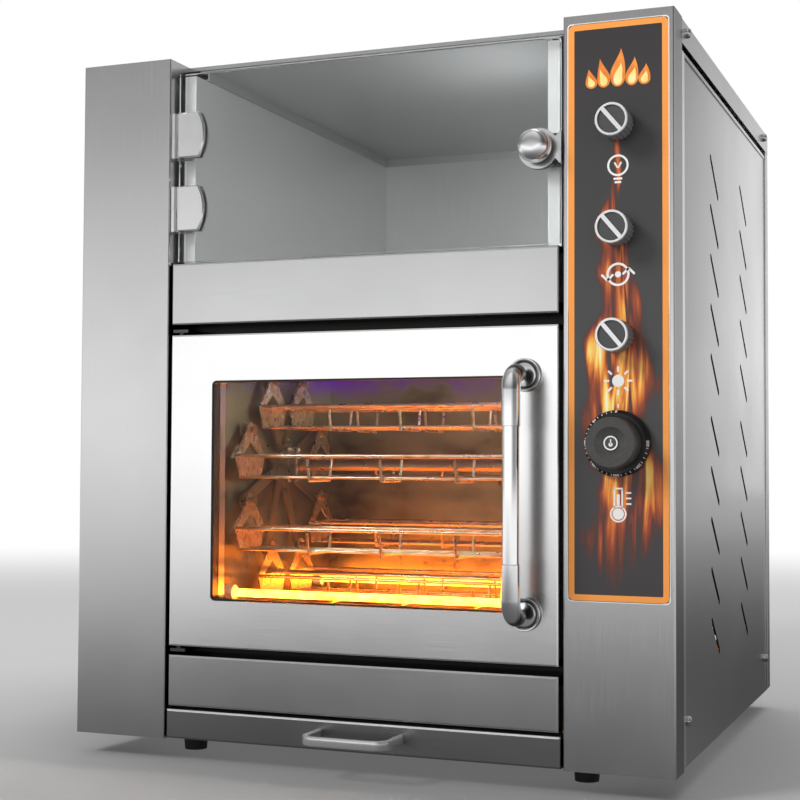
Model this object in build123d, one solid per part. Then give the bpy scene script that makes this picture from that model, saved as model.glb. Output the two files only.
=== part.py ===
from build123d import *
from math import atan, cos, degrees, radians, sin
import os

# Counter-top sweet potato oven: a glass-fronted warming cabinet over an oven with a wheel of hanging baskets.
# Millimetres. X runs across, Z up from the floor. While a piece is modelled, Y is its depth behind the
# column faces; save() then moves everything so that the origin lies on the floor under the oven's middle.

# ---- overall size
BODY_W = 620.0          # across the two columns
BODY_D = 585.0          # column faces to the back panel
BODY_H = 690.0          # underside of the body to the roof
FOOT_H = 22.0
SHEET = 1.2             # stainless sheet
BEND_R = 2.0            # outside radius of a folded edge
FIT = 0.3               # gap between two sheets that are fitted without touching
RUN_FIT = 0.05          # radial clearance of a shaft or pin in its bush

# ---- front layout, from the underside of the body upwards
COLUMN_W = 103.0
OUTER_RETURN = 36.0     # column fold on the outside of the body
ROOF_RECESS = 40.0      # roof edge and inner column fold, behind the column faces
DRAWER_LIFT = 1.0
DRAWER_H = 29.3
DRAWER_GAP = 3.2        # drawer to lower fascia
FASCIA_LIP = 3.0        # fascia lip hanging behind the drawer front
FASCIA_H = 51.0
SILL_GAP = 8.5          # lower fascia to oven door
DOOR_H = 313.5
HEAD_GAP = 10.0         # oven door to shelf front
SHELF_H = 62.5
GLASS_GAP = 2.0         # shelf front to glass door
GLASS_TOP_GAP = 17.0    # glass door to the top of the roof
SIDE_GAP = 4.2          # fascias and oven door to the columns
DRAWER_SIDE_GAP = 2.5
PLATE_Y = 34.0          # depth of the structural front plate

# ---- roof, side and back panels
ROOF_FLANGE = 24.0
ROOF_NOSE = 4.0         # folded front edge of the roof
PANEL_LIFT = 3.5        # side and back panels above the underside
PANEL_Y = 20.0          # front edge of a side panel, inside the column's fold
PANEL_HEM = 12.0        # raised strip along the front of a side panel
HEM_T = 0.9
HEM_GAP = 2.0           # strip to the column
TOP_SLOT = 7.0          # open slot between a side panel and the roof's fold
TOP_HEM = 3.0           # raised strip along the lower edge of that slot
BACK_WRAP = 20.0        # back panel fold round the sides
SLOT_L = 61.0
SLOT_W = 6.5
SLOT_TILT = 39.5        # slots fall towards the back
SLOT_PITCH = 0.0732 * BODY_H
SLOT_ROWS = 5
SLOT_GROUP_RISE = 0.384 * BODY_H    # from the lower group of slots to the upper one
SLOT_BASE = 0.151 * BODY_H          # lowest slot above the underside
SLOT_COLUMNS = (211.0, 396.0)
VENT_L = 70.0
VENT_W = 5.0
VENT_PITCH = 16.0
VENT_ROWS = 7
VENT_IN = 160.0         # vents and gland from the side of the body
VENT_Z = 180.0          # middle of the rear vents above the underside
SCREW_D = 9.5
SCREW_H = 4.4
SCREW_EDGE_R = 3.0
SCREW_FRONT = 58.0      # side screws from the column faces and from the back panel's face
SCREW_REAR = 36.0
SCREW_UP = 42.5         # lower screws above the underside
SCREW_MARGIN = 25.0     # rear screws from the side, top and bottom of the back panel

# ---- warming cabinet
JAMB_Y = 20.0
JAMB_W = 13.0
JAMB_GAP = 7.0          # jamb to column
CABINET_D = 540.0       # depth of the cabinet's back wall
CEILING_DROP = 5.5      # ceiling below the top of the roof
LEDGE_H = 9.5
LEDGE_IN = 3.0
LAMP_D = 50.0
LAMP_HOLDER_T = 10.0
LAMP_BACK = 90.0        # lamp behind the jamb
LAMP_RISE = 20.0        # lamp above the middle of the glass

# ---- glass door of the cabinet
GLASS_Y = 2.5
GLASS_T = 6.0
GLASS_SIDE_GAP = 4.0    # right edge of the glass to the control column
PIVOT_GAP = 4.0         # hinge axis to the left column
PIVOT_TO_GLASS = 5.0
KNUCKLE_R = 3.2
HINGE_PIN_R = 1.5
CLAMP_W = 30.0
CLAMP_H = 46.0
CLAMP_PLATE_T = 3.8
CLAMP_BACK_T = 2.5
CLAMP_WEB_T = 1.2       # web round the edge of the glass
CLAMP_WEB_GAP = 0.7     # edge of the glass to the clamp plates
CLAMP_BEVEL = 1.2
HINGE_SHARES = (0.328, 0.719)   # places of the two hinges, as shares of the glass height from its top
KNOB_D = 31.0
KNOB_REACH = 25.0
KNOB_NECK = 5.0         # stem showing between the knob and its clamp
KNOB_EDGE_R = 7.0
KNOB_IN = 20.0          # knob axis from the free edge of the glass
KNOB_CLAMP_D = 38.0
KNOB_CLAMP_T = 2.0
KNOB_DROP = 7.0         # knob axis below the middle of the glass
KNOB_CLAMP_H = 29.0

# ---- oven door
DOOR_T = 30.0
WINDOW_BORDER = 47.0
WINDOW_R = 5.0
REVEAL_D = 12.0         # window glass behind the face of the door
PANE_T = 5.0
PANE_LAP = 8.0
SEAL_T = 1.5
DOOR_SEAL_W = 8.0
DOOR_SEAL_OUT = 6.0     # outer edge of the seal beyond the doorway
HINGE_IN = 8.0          # door pivot from the edge and from the face of the door
DOOR_PIN_R = 3.0
DOOR_PIN_L = 14.0       # pin inside the door
PIVOT_BLOCK_H = 16.0
PIVOT_BLOCK_IN = 9.0    # pivot block beyond the pin's axis
BRACKET_T = 3.0
BRACKET_IN = 10.0       # bracket beyond the pin's axis
CATCH_L = 30.0          # magnetic catches
CATCH_W = 11.0
CATCH_IN = 4.0          # oven door catches from the edge of the door
CATCH_SPREAD = 60.0     # oven door catches from the middle of the door
HANDLE_IN = 32.0        # handle from the free edge
HANDLE_CC = 220.0
HANDLE_D = 16.0
HANDLE_STANDOFF = 44.0
ELBOW_D = 17.5
ELBOW_R = 18.0
ELBOW_L = 48.0
ROSETTE_D = 31.0
ROSETTE_T = 4.5
GROOVE_D = 24.0         # middle of the groove round a rosette's face
GROOVE_W = 3.0

# ---- oven cavity and its wheel of baskets
CAVITY_SIDE_GAP = 31.0  # cavity wall to the column
CAVITY_D = 300.0
CAVITY_TOP_GAP = 4.5    # cavity top below the top of the door
CAVITY_LIP = 4.0        # front plate standing inside the cavity walls
RING_R = 98.0           # basket pivots from the shaft
RING_TOP_CLEAR = 29.0   # highest pivot to the cavity top
BASKETS = 8
RING_START = 22.5
SHAFT_D = 12.0
SPIDER_T = 3.0
SPIDER_CLEAR = 7.0      # spider to the cavity wall
HUB_D = 44.0
BOSS_D = 26.0
BOSS_T = 3.5
CLAMP_BLOCK = 25.0      # width of a hub's shaft clamp
CLAMP_HALF_H = 15.0
CLAMP_SPLIT = 1.5
CLAMP_BOLT_D = 6.0
CLAMP_BOLT_HEAD = 4.0
ARM_W = 12.0
EYE_R = 8.0
HANGER_D = 6.0
HANGER_L = 10.5
HANGER_HEAD = 1.5
EYE_FIT = 0.3
BASKET_END_GAP = 6.5    # basket end plate to the spider
END_PLATE_T = 1.5
RAIL_HALF = 33.0
RAIL_DROP = 28.0
RAIL_D = 4.0
WIRE_D = 3.0
TRAY_HALF = 24.0
TRAY_DROP = 51.5
CROSS_WIRES = 3
BUSH_D = 20.0
BUSH_FLANGE_D = 32.0
BUSH_FLANGE_T = 3.0
HEATER_D = 8.0
HEATER_CAP_D = 16.0
HEATER_CAP_L = 9.0
HEATER_SPREAD = 110.0
HEATER_SAG = 34.0       # middle lower heater below its neighbours
HEATER_CLEAR = 9.0      # lowest basket to the middle heater
UPPER_HEATER_DROP = 10.0
INSULATION_T = 20.0
MOTOR_W = 64.0
GEARBOX_D = 56.0
GEARBOX_L = 26.0
MOTOR_D = 44.0
MOTOR_L = 34.0
BULB_D = 6.0            # thermostat bulb on the back wall
BULB_L = 120.0
BULB_X = 40.0           # its end right of the middle
BULB_DROP = 20.0        # below the shaft
BULB_STANDOFF = 3.0
BULB_CLIP_W = 8.0
BULB_CLIP_IN = 20.0     # clip from the bulb's end
OVEN_LAMP_D = 44.0
OVEN_LAMP_IN = 45.0     # oven lamp from the front plate and from the cavity top
LENS_T = 3.0
LENS_LAP = 3.0          # lens over the edge of its hole

# ---- controls
LABEL_MARGIN = 4.2
LABEL_H = 529.0
LABEL_TOP_GAP = 7.7
LABEL_T = 0.6
LABEL_R = 4.0
KNOB_TOP = 104.0        # first knob below the roof
KNOB_PITCH = 96.5
SWITCH_KNOBS = 3
SWITCH_KNOB_D = 30.0
SWITCH_KNOB_H = 25.0
KNOB_RIM_W = 2.2        # raised rim round a knob's face
KNOB_RELIEF = 1.5       # rim and pointer above the face
POINTER_W = 3.8
POINTER_TURN = 50.0
KNOB_FLUTES = 22
FLUTE_R = 1.5
FLUTE_BITE = 0.8
DIAL_SKIRT_D = 60.0
DIAL_SKIRT_H = 8.0
DIAL_GRIP_D = 46.0
DIAL_H = 29.0
DISH_D = 29.0           # hollow in the dial's face
DISH_DEEP = 3.0
DIAL_EYE_D = 14.0       # raised disc in the hollow
KNOB_GAP = 1.4          # knobs and dial to the label
SPINDLE_D = 6.0
SPINDLE_IN = 6.0        # spindle inside its knob
NECK_D = 10.0
NECK_OUT = 2.0          # switch neck in front of the column
NECK_CLEAR = 1.5        # hollow of a knob round the neck
KNOB_HOLLOW = 4.0       # its depth
SWITCH_W = 28.0
SWITCH_DEPTH = 24.0
THERMOSTAT_W = 46.0
THERMOSTAT_DEPTH = 30.0
TERMINAL_L = 8.0
TERMINAL_W = 6.0

# ---- crumb drawer, base and feet
DRAWER_FOLD = 12.0
TRAY_SIDE = 11.0        # tray side inside the column opening
TRAY_LEN = 470.0
TRAY_H = 23.0
TRAY_WALL = 1.0
LOOP_W = 90.0
LOOP_REACH = 45.0
LOOP_H = 9.0
LOOP_T = 5.5
LOOP_CORNER = 12.0
LOOP_OFFSET = 7.0       # loop handle right of the middle
RUNNER_W = 15.0
RUNNER_H = 16.0
RUNNER_T = 1.5
RUNNER_PAST = 10.0      # runner behind the tray
PAN_LIP = 15.0          # upturned edges of the base pan
PAN_NOTCH = 5.0         # their gaps at the corners
FOOT_D = 27.0
FOOT_TIP_D = 23.0
FOOT_IN = 99.5          # foot from the side of the body
FOOT_Y = 73.0
GLAND_IN = 70.0
GLAND_Z = 60.0
GLAND_D = 24.0
GLAND_REACH = 20.0
GLAND_BORE_D = 11.0
GLAND_HEX_T = 6.0
GLAND_LOCK_T = 4.0

# ---- levels and widths that follow from the sizes above
z_body = FOOT_H
z_roof = z_body + BODY_H
z_drawer = z_body + DRAWER_LIFT
z_drawer_top = z_drawer + DRAWER_H
z_fascia = z_drawer_top + DRAWER_GAP
z_fascia_top = z_fascia + FASCIA_H
z_door = z_fascia_top + SILL_GAP
z_door_top = z_door + DOOR_H
z_shelf = z_door_top + HEAD_GAP
z_shelf_top = z_shelf + SHELF_H
z_glass = z_shelf_top + GLASS_GAP
z_glass_top = z_roof - GLASS_TOP_GAP
side = BODY_W / 2
bay = side - COLUMN_W               # half the width between the columns
front_half = bay - SIDE_GAP
jamb_outer = bay - JAMB_GAP
cabinet_half = jamb_outer - JAMB_W
cavity_half = bay - CAVITY_SIDE_GAP
plate_back = PLATE_Y + SHEET
cavity_back = plate_back + CAVITY_D
z_cavity_top = z_door_top - CAVITY_TOP_GAP
z_plate = z_drawer_top + 1.5
rotor_y = plate_back + CAVITY_D / 2
rotor_z = z_cavity_top - RING_TOP_CLEAR - RING_R
z_basket_low = rotor_z - RING_R - TRAY_DROP - 1.5 * WIRE_D
spider_x = cavity_half - SPIDER_CLEAR - SPIDER_T
end_plate_x = spider_x - BASKET_END_GAP
door_mid_z = (z_door + z_door_top) / 2
control_x = side - COLUMN_W / 2
gland_x = side - GLAND_IN
front_reach = HANDLE_STANDOFF + ELBOW_D / 2
back_reach = GLAND_REACH
y_shift = (front_reach - BODY_D - back_reach) / 2


def block(x0, x1, y0, y1, z0, z1):
    """Box between two corners."""
    middle = Pos((x0 + x1) / 2, (y0 + y1) / 2, (z0 + z1) / 2)
    return middle * Box(x1 - x0, y1 - y0, z1 - z0)


def rod_x(x0, x1, y, z, d):
    return Pos((x0 + x1) / 2, y, z) * Rot(0, 90, 0) * Cylinder(d / 2, x1 - x0)


def rod_y(x, y0, y1, z, d):
    return Pos(x, (y0 + y1) / 2, z) * Rot(90, 0, 0) * Cylinder(d / 2, y1 - y0)


def rod_z(x, y, z0, z1, d):
    return Pos(x, y, (z0 + z1) / 2) * Cylinder(d / 2, z1 - z0)


def front_slab(sketch, y0, y1):
    """Extrudes a sketch drawn as seen from the front, X across and Y up, from depth y0 to y1."""
    return Pos(0, y1, 0) * Rot(90, 0, 0) * extrude(sketch, y1 - y0)


def side_slab(sketch, x0, x1):
    """Extrudes a sketch drawn with X along the depth and Y up, from x0 to x1."""
    return Pos(x0, 0, 0) * (Plane.YZ * extrude(sketch, x1 - x0))


def panel(x0, x1, z0, z1, r):
    """Rounded rectangle in the front view."""
    return Pos((x0 + x1) / 2, (z0 + z1) / 2) * RectangleRounded(x1 - x0, z1 - z0, r)


def folded_front(x0, x1, z0, z1, depth, y0=0.0):
    """Sheet face with folds on all four sides running back to a depth."""
    outer = block(x0, x1, y0, depth, z0, z1)
    front_edges = outer.faces().sort_by(Axis.Y)[0].edges()
    outer = fillet(front_edges, BEND_R)
    return outer - block(x0 + SHEET, x1 - SHEET, y0 + SHEET, depth, z0 + SHEET, z1 - SHEET)


def mirrored(shape):
    return mirror(shape, about=Plane.YZ)


def save(name, *pieces):
    """Writes one node, moved to the floor origin."""
    solids = []
    for piece in pieces:
        solids.extend((Pos(0, y_shift, 0) * piece).solids())
    export_step(Compound(children=solids) if len(solids) > 1 else solids[0], f"parts/{name}.step")


# ------------------------------------------------------------------ housing

def make_column():
    """Left column: a folded front, closed at the top, with a short outer and a deep inner fold."""
    profile = Pos(-side + COLUMN_W / 2, ROOF_RECESS / 2) * Rectangle(COLUMN_W, ROOF_RECESS)
    profile = fillet(profile.vertices().group_by(Axis.Y)[0], BEND_R)
    hollow = Pos(-side + COLUMN_W / 2, ROOF_RECESS / 2 + SHEET)
    profile -= hollow * Rectangle(COLUMN_W - 2 * SHEET, ROOF_RECESS)
    column = Pos(0, 0, z_body) * extrude(profile, BODY_H - SHEET)
    column -= block(-side, -side + 2 * SHEET, OUTER_RETURN, ROOF_RECESS, z_body, z_roof)
    cap = Pos(-side + COLUMN_W / 2, OUTER_RETURN / 2) * Rectangle(COLUMN_W, OUTER_RETURN)
    cap = fillet(cap.vertices().group_by(Axis.Y)[0], BEND_R)
    return column + Pos(0, 0, z_roof - SHEET) * extrude(cap, SHEET)


def control_heights():
    """Axis heights of the knobs, from the top one down to the thermostat."""
    return [z_roof - KNOB_TOP - KNOB_PITCH * i for i in range(SWITCH_KNOBS + 1)]


def make_control_column():
    column = mirrored(make_column())
    for z in control_heights():
        column -= rod_y(control_x, -1, SHEET + 1, z, NECK_D + FIT)
    return column


def make_roof():
    """Cover with folds down both sides and the back, notched round the columns."""
    start = OUTER_RETURN + FIT
    outer = block(-side, side, start, BODY_D, z_roof - ROOF_FLANGE, z_roof)
    long_edges = outer.edges().filter_by(Axis.Y).group_by(Axis.Z)[-1]
    outer = fillet(long_edges, BEND_R)
    inner = block(-side + SHEET, side - SHEET, 0, BODY_D - SHEET, z_body, z_roof - SHEET)
    roof = outer - inner - block(-bay, bay, 0, ROOF_RECESS, z_body, z_roof)
    nose = block(-bay, bay, ROOF_RECESS, ROOF_RECESS + SHEET, z_roof - ROOF_NOSE, z_roof - SHEET)
    return roof + nose


def slot_places():
    """Depth and height of every slot's middle on a side panel."""
    rise = [SLOT_PITCH * i for i in range(SLOT_ROWS)]
    rise += [SLOT_GROUP_RISE + SLOT_PITCH * i for i in range(SLOT_ROWS)]
    return [(y, z_body + SLOT_BASE + up) for y in SLOT_COLUMNS for up in rise]


def make_side_panel():
    """Left side panel with raised strips at its front and top, an open slot under the roof, and slanted slots."""
    outer_x = -side + SHEET + FIT
    top = z_roof - SHEET - FIT
    skin = block(outer_x, outer_x + SHEET, PANEL_Y, BODY_D - SHEET - FIT, z_body + PANEL_LIFT, top)
    hem_y = OUTER_RETURN + HEM_GAP
    slot_end = BODY_D - BACK_WRAP - HEM_GAP
    hem_top = z_roof - ROOF_FLANGE - TOP_SLOT
    hem = block(outer_x - HEM_T, outer_x, hem_y, hem_y + PANEL_HEM, z_body + PANEL_LIFT, hem_top)
    hem += block(outer_x - HEM_T, outer_x, hem_y, slot_end, hem_top - TOP_HEM, hem_top)
    skin -= block(outer_x - 1, outer_x + SHEET + 1, hem_y, slot_end, hem_top, hem_top + TOP_SLOT)
    cut = Sketch()
    for y, z in slot_places():
        cut += Pos(y, z) * Rot(0, 0, -SLOT_TILT) * SlotOverall(SLOT_L, SLOT_W)
    return skin + hem - side_slab(cut, outer_x - 1, outer_x + SHEET + 1)


def make_back_panel():
    """Back panel wrapped round the sides, with two stacks of vents and the gland hole."""
    top = z_roof - ROOF_FLANGE - FIT
    low = z_body + PANEL_LIFT
    outer = block(-side, side, BODY_D - BACK_WRAP, BODY_D, low, top)
    outer = fillet(outer.edges().filter_by(Axis.Z).group_by(Axis.Y)[-1], BEND_R)
    shell = outer - block(-side + SHEET, side - SHEET, 0, BODY_D - SHEET, low, top)
    for x in (VENT_IN - side, side - VENT_IN):
        for i in range(VENT_ROWS):
            z = z_body + VENT_Z + (i - (VENT_ROWS - 1) / 2) * VENT_PITCH
            shell -= block(x - VENT_L / 2, x + VENT_L / 2, BODY_D - 5, BODY_D + 1,
                           z - VENT_W / 2, z + VENT_W / 2)
    return shell - rod_y(gland_x, BODY_D - 5, BODY_D + 1, z_body + GLAND_Z, GLAND_D * 2 / 3)


def make_base_pan():
    """Bottom sheet with a tongue between the columns and upturned sides."""
    rim = side - 2 * (SHEET + FIT)
    front, rear = ROOF_RECESS + FIT, BODY_D - SHEET - FIT
    notch = PAN_NOTCH
    pan = block(-rim, rim, front, rear, z_body, z_body + SHEET)
    pan += block(-bay + FIT, bay - FIT, DRAWER_FOLD + 2, front, z_body, z_body + SHEET)
    for x in (-rim, rim - SHEET):
        pan += block(x, x + SHEET, front + notch, rear - notch, z_body, z_body + PAN_LIP)
    pan += block(notch - rim, rim - notch, rear - SHEET, rear, z_body, z_body + PAN_LIP)
    return pan


def make_feet():
    """Tapered rubber feet."""
    widening = degrees(atan((FOOT_D - FOOT_TIP_D) / 2 / FOOT_H))
    foot = extrude(Circle(FOOT_TIP_D / 2), FOOT_H, taper=-widening)
    return [Pos(x, y, 0) * foot for x in (FOOT_IN - side, side - FOOT_IN) for y in (FOOT_Y, BODY_D - FOOT_Y)]


def screw_head():
    """Pan head on the YZ plane, pointing to -X."""
    head = Cylinder(SCREW_D / 2, SCREW_H)
    head = fillet(head.edges().filter_by(GeomType.CIRCLE).sort_by(Axis.Z)[-1], SCREW_EDGE_R)
    return Pos(-SCREW_H / 2, 0, 0) * Rot(0, -90, 0) * head


def make_screws():
    flange_z = z_roof - ROOF_FLANGE / 2 + 2
    panel_x = -side + SHEET + FIT
    front, rear = SCREW_FRONT, BODY_D - SCREW_REAR
    places = [(-side, front, flange_z), (-side, rear, flange_z)]
    places += [(panel_x, front, z_body + SCREW_UP), (panel_x, rear, z_body + SCREW_UP)]
    heads = []
    for x, y, z in places:
        heads.append(Pos(x, y, z) * screw_head())
        heads.append(mirrored(heads[-1]))
    for x in (SCREW_MARGIN - side, side - SCREW_MARGIN):
        for z in (z_body + SCREW_MARGIN, z_body + BODY_H / 2, z_roof - ROOF_FLANGE - SCREW_MARGIN):
            heads.append(Pos(x, BODY_D, z) * Rot(0, 0, -90) * screw_head())
    return heads


# ------------------------------------------------------------------ warming cabinet

def make_cabinet_liner():
    """Side walls with jambs folded outwards, and the back wall, as one folded sheet."""
    outer = cabinet_half + SHEET
    profile = Pos(0, (JAMB_Y + CABINET_D + SHEET) / 2) * Rectangle(2 * outer, CABINET_D + SHEET - JAMB_Y)
    profile -= Pos(0, CABINET_D / 2) * Rectangle(2 * cabinet_half, CABINET_D)
    for x in (-(outer + jamb_outer) / 2, (outer + jamb_outer) / 2):
        profile += Pos(x, JAMB_Y + SHEET / 2) * Rectangle(jamb_outer - outer, SHEET)
    bends = profile.vertices().filter_by(lambda v: abs(v.Y - JAMB_Y) < 0.01 and abs(v.X) < outer)
    profile = fillet(bends, BEND_R / 2)
    low = z_shelf_top - SHEET
    return Pos(0, 0, low) * extrude(profile, z_ledge() - FIT - low)


def z_ceiling():
    return z_roof - CEILING_DROP


def z_ledge():
    return z_ceiling() - LEDGE_H


def make_cabinet_ceiling():
    """Shallow tray whose sides hang down as a narrow lip along both walls."""
    half = cabinet_half - LEDGE_IN
    front = ROOF_RECESS + SHEET
    top = block(-jamb_outer, jamb_outer, front, CABINET_D + SHEET, z_ceiling(), z_ceiling() + SHEET)
    for x in (-half - SHEET, half):
        top += block(x, x + SHEET, front, CABINET_D - FIT, z_ledge(), z_ceiling())
    for x0, x1 in ((-cabinet_half - SHEET, -half), (half, cabinet_half + SHEET)):
        top += block(x0, x1, front, CABINET_D - FIT, z_ledge(), z_ledge() + SHEET)
    rear_z = z_ledge() - FIT
    return top + block(-cabinet_half, cabinet_half, CABINET_D, CABINET_D + SHEET, rear_z, z_ceiling())


def make_cabinet_floor():
    top = z_shelf_top - SHEET
    return block(-jamb_outer, jamb_outer, 5, CABINET_D + SHEET, top - SHEET, top)


def make_shelf_front():
    return folded_front(-front_half, front_half, z_shelf, z_shelf_top, PLATE_Y) - shelf_back_relief()


def shelf_back_relief():
    """Shortens the shelf's top fold, so that the floor and the jambs clear it."""
    return block(-bay, bay, JAMB_Y - 4, PLATE_Y + 1, z_shelf_top - 2 * SHEET, z_shelf_top + 1)


def make_cabinet_lamp():
    """Round lamp on the cabinet's right wall, behind the jamb: holder and domed lens."""
    y = JAMB_Y + LAMP_BACK
    z = (z_glass + z_glass_top) / 2 + LAMP_RISE
    face = cabinet_half - LAMP_HOLDER_T
    holder = rod_x(face, cabinet_half, y, z, LAMP_D)
    dome = Pos(face + LAMP_D * 0.52, y, z) * Sphere(LAMP_D * 0.6)
    lens = dome & block(0, face, y - LAMP_D, y + LAMP_D, z - LAMP_D, z + LAMP_D)
    return holder, lens


def hinge_heights():
    return [z_glass_top - share * (z_glass_top - z_glass) for share in HINGE_SHARES]


def make_glass():
    x0 = -bay + PIVOT_GAP + PIVOT_TO_GLASS
    pane = block(x0, bay - GLASS_SIDE_GAP, GLASS_Y, GLASS_Y + GLASS_T, z_glass, z_glass_top)
    return chamfer(pane.edges().filter_by(Axis.Z), 0.6)


def bowed_plate(x0, width, height, y0, y1):
    """Plate with a straight left side and a bowed right side."""
    bow = 0.22 * width
    outline = Polyline((x0 + width - bow, height / 2), (x0, height / 2), (x0, -height / 2),
                       (x0 + width - bow, -height / 2))
    arc = ThreePointArc((x0 + width - bow, height / 2), (x0 + width, 0), (x0 + width - bow, -height / 2))
    return front_slab(make_face(outline + arc), y0, y1)


def make_hinge_clamps():
    """Clamp plates before and behind the glass, joined round its edge to a knuckle on the pin."""
    axis_x = -bay + PIVOT_GAP
    glass_x = axis_x + PIVOT_TO_GLASS
    back = GLASS_Y + GLASS_T
    clamps = []
    for z in hinge_heights():
        plate_x = glass_x + CLAMP_WEB_GAP
        clamp = bowed_plate(plate_x, CLAMP_W, CLAMP_H, GLASS_Y - CLAMP_PLATE_T, GLASS_Y)
        clamp = chamfer(clamp.faces().sort_by(Axis.Y)[0].edges(), CLAMP_BEVEL)
        clamp += bowed_plate(plate_x, CLAMP_W, CLAMP_H, back, back + CLAMP_BACK_T)
        web_top = CLAMP_H / 2
        web_x = glass_x - CLAMP_WEB_T
        clamp += block(web_x, glass_x, GLASS_Y - 0.5, back + CLAMP_BACK_T, -web_top, web_top)
        clamp += block(web_x, plate_x + 1, back, back + CLAMP_BACK_T, -web_top, web_top)
        clamp += block(web_x, plate_x + 1, GLASS_Y - 0.5, GLASS_Y, -web_top, web_top)
        clamp += block(axis_x, glass_x, GLASS_Y, GLASS_Y + 2.5, FIT, web_top)
        clamp += rod_z(axis_x, GLASS_Y, FIT, web_top, 2 * KNUCKLE_R)
        clamp -= rod_z(axis_x, GLASS_Y, -web_top, web_top + 1, 2 * (HINGE_PIN_R + RUN_FIT))
        clamps.append(Pos(0, 0, z) * clamp)
    return clamps


def make_hinge_leaves():
    """Fixed halves of the glass door's hinges: knuckle, pin and a leaf screwed to the jamb."""
    axis_x = -bay + PIVOT_GAP
    leaves = []
    for z in hinge_heights():
        low = -CLAMP_H / 2
        leaf = rod_z(axis_x, GLASS_Y, low, 0, 2 * KNUCKLE_R)
        leaf += rod_z(axis_x, GLASS_Y, low, CLAMP_H / 2, 2 * HINGE_PIN_R)
        wing_x = axis_x - KNUCKLE_R
        leaf += block(wing_x, wing_x + 2, GLASS_Y, JAMB_Y, low, 0)
        leaf += block(wing_x, -cabinet_half - 3, JAMB_Y - 2, JAMB_Y, low, 0)
        leaves.append(Pos(0, 0, z) * leaf)
    return leaves


def knob_place():
    """Axis of the glass door's knob in the front view."""
    return bay - GLASS_SIDE_GAP - KNOB_IN, (z_glass + z_glass_top) / 2 - KNOB_DROP


def make_knob_clamp():
    """Round plate with a waisted neck that grips the free edge of the glass."""
    x, z = knob_place()
    edge = bay - GLASS_SIDE_GAP
    half = KNOB_CLAMP_H / 2
    neck = KNOB_CLAMP_H * 0.3
    outline = Polyline((0, neck), (0, -neck))
    lower = ThreePointArc((0, -neck), (KNOB_IN * 0.72, -neck * 1.02), (KNOB_IN, -half))
    end = Line((KNOB_IN, -half), (KNOB_IN, half))
    upper = ThreePointArc((KNOB_IN, half), (KNOB_IN * 0.72, neck * 1.02), (0, neck))
    outline = Circle(KNOB_CLAMP_D / 2) + make_face(outline + lower + end + upper)
    outline = Pos(x, z) * outline
    front, back = GLASS_Y - KNOB_CLAMP_T, GLASS_Y + GLASS_T
    clamp = front_slab(outline, front, GLASS_Y)
    clamp += front_slab(outline, back, back + KNOB_CLAMP_T)
    wrap = block(edge, edge + KNOB_CLAMP_T, front, back + KNOB_CLAMP_T, z - half, z + half)
    return clamp + wrap


def make_cabinet_knob():
    """Turned knob: stem and a drum with a well rounded front edge."""
    x, z = knob_place()
    base = GLASS_Y - KNOB_CLAMP_T
    stem = rod_y(x, base - KNOB_NECK - 1, base, z, KNOB_D * 0.5)
    drum = rod_y(x, base - KNOB_REACH, base - KNOB_NECK, z, KNOB_D)
    rims = drum.edges().filter_by(GeomType.CIRCLE)
    drum = fillet(rims.sort_by(Axis.Y)[0], KNOB_EDGE_R)
    return drum + stem


def make_cabinet_catch():
    """Magnetic catch on the right jamb, just behind the knob clamp."""
    z = knob_place()[1]
    front = GLASS_Y + GLASS_T + KNOB_CLAMP_T + FIT
    return block(cabinet_half + 1, jamb_outer - 1, front, JAMB_Y, z - CATCH_L / 2, z + CATCH_L / 2)


# ------------------------------------------------------------------ front plate, fascias and oven door

def make_front_plate():
    """Structural sheet behind the doors and fascias, open to the oven cavity."""
    plate = block(-bay + FIT, bay - FIT, PLATE_Y, plate_back, z_plate, z_shelf_top - 2 * SHEET - FIT)
    w = cavity_half - CAVITY_LIP
    doorway = panel(-w, w, z_doorway(), z_cavity_top - CAVITY_LIP, 6)
    return plate - front_slab(doorway, PLATE_Y - 1, plate_back + 1)


def z_doorway():
    return z_door + CAVITY_TOP_GAP + CAVITY_LIP


def make_lower_fascia():
    """Fascia with a lip that hangs behind the drawer front and closes the gap over it."""
    lip_y = DRAWER_FOLD + 2 * SHEET
    lip = block(-front_half, front_half, lip_y, lip_y + SHEET, z_drawer_top - FASCIA_LIP, z_fascia + SHEET)
    return lip + folded_front(-front_half, front_half, z_fascia, z_fascia_top, PLATE_Y)


def window_outline(grow):
    """Window outline in the front view, grown by a margin."""
    half = front_half - WINDOW_BORDER + grow
    low, high = z_door + WINDOW_BORDER - grow, z_door_top - WINDOW_BORDER + grow
    return panel(-half, half, low, high, WINDOW_R + max(grow, -3))


def pivot_x():
    return -front_half + HINGE_IN


def make_door_shell():
    """Pressed outer skin of the oven door, with a reveal folded back round the window."""
    shell = folded_front(-front_half, front_half, z_door, z_door_top, DOOR_T)
    shell -= front_slab(window_outline(0), -1, SHEET + 1)
    reveal = front_slab(window_outline(SHEET) - window_outline(0), SHEET, REVEAL_D)
    pin_way = rod_z(pivot_x(), HINGE_IN, z_door - 1, z_door_top + 1, 2 * DOOR_PIN_R + 1)
    return shell + reveal - pin_way


def make_window_seal():
    """Black lining of the reveal, turned under the edge of the glass."""
    return front_slab(window_outline(-FIT) - window_outline(-FIT - SEAL_T), BEND_R, REVEAL_D + 0.7)


def make_pane():
    y0 = REVEAL_D + 1
    return front_slab(window_outline(PANE_LAP), y0, y0 + PANE_T)


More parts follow.
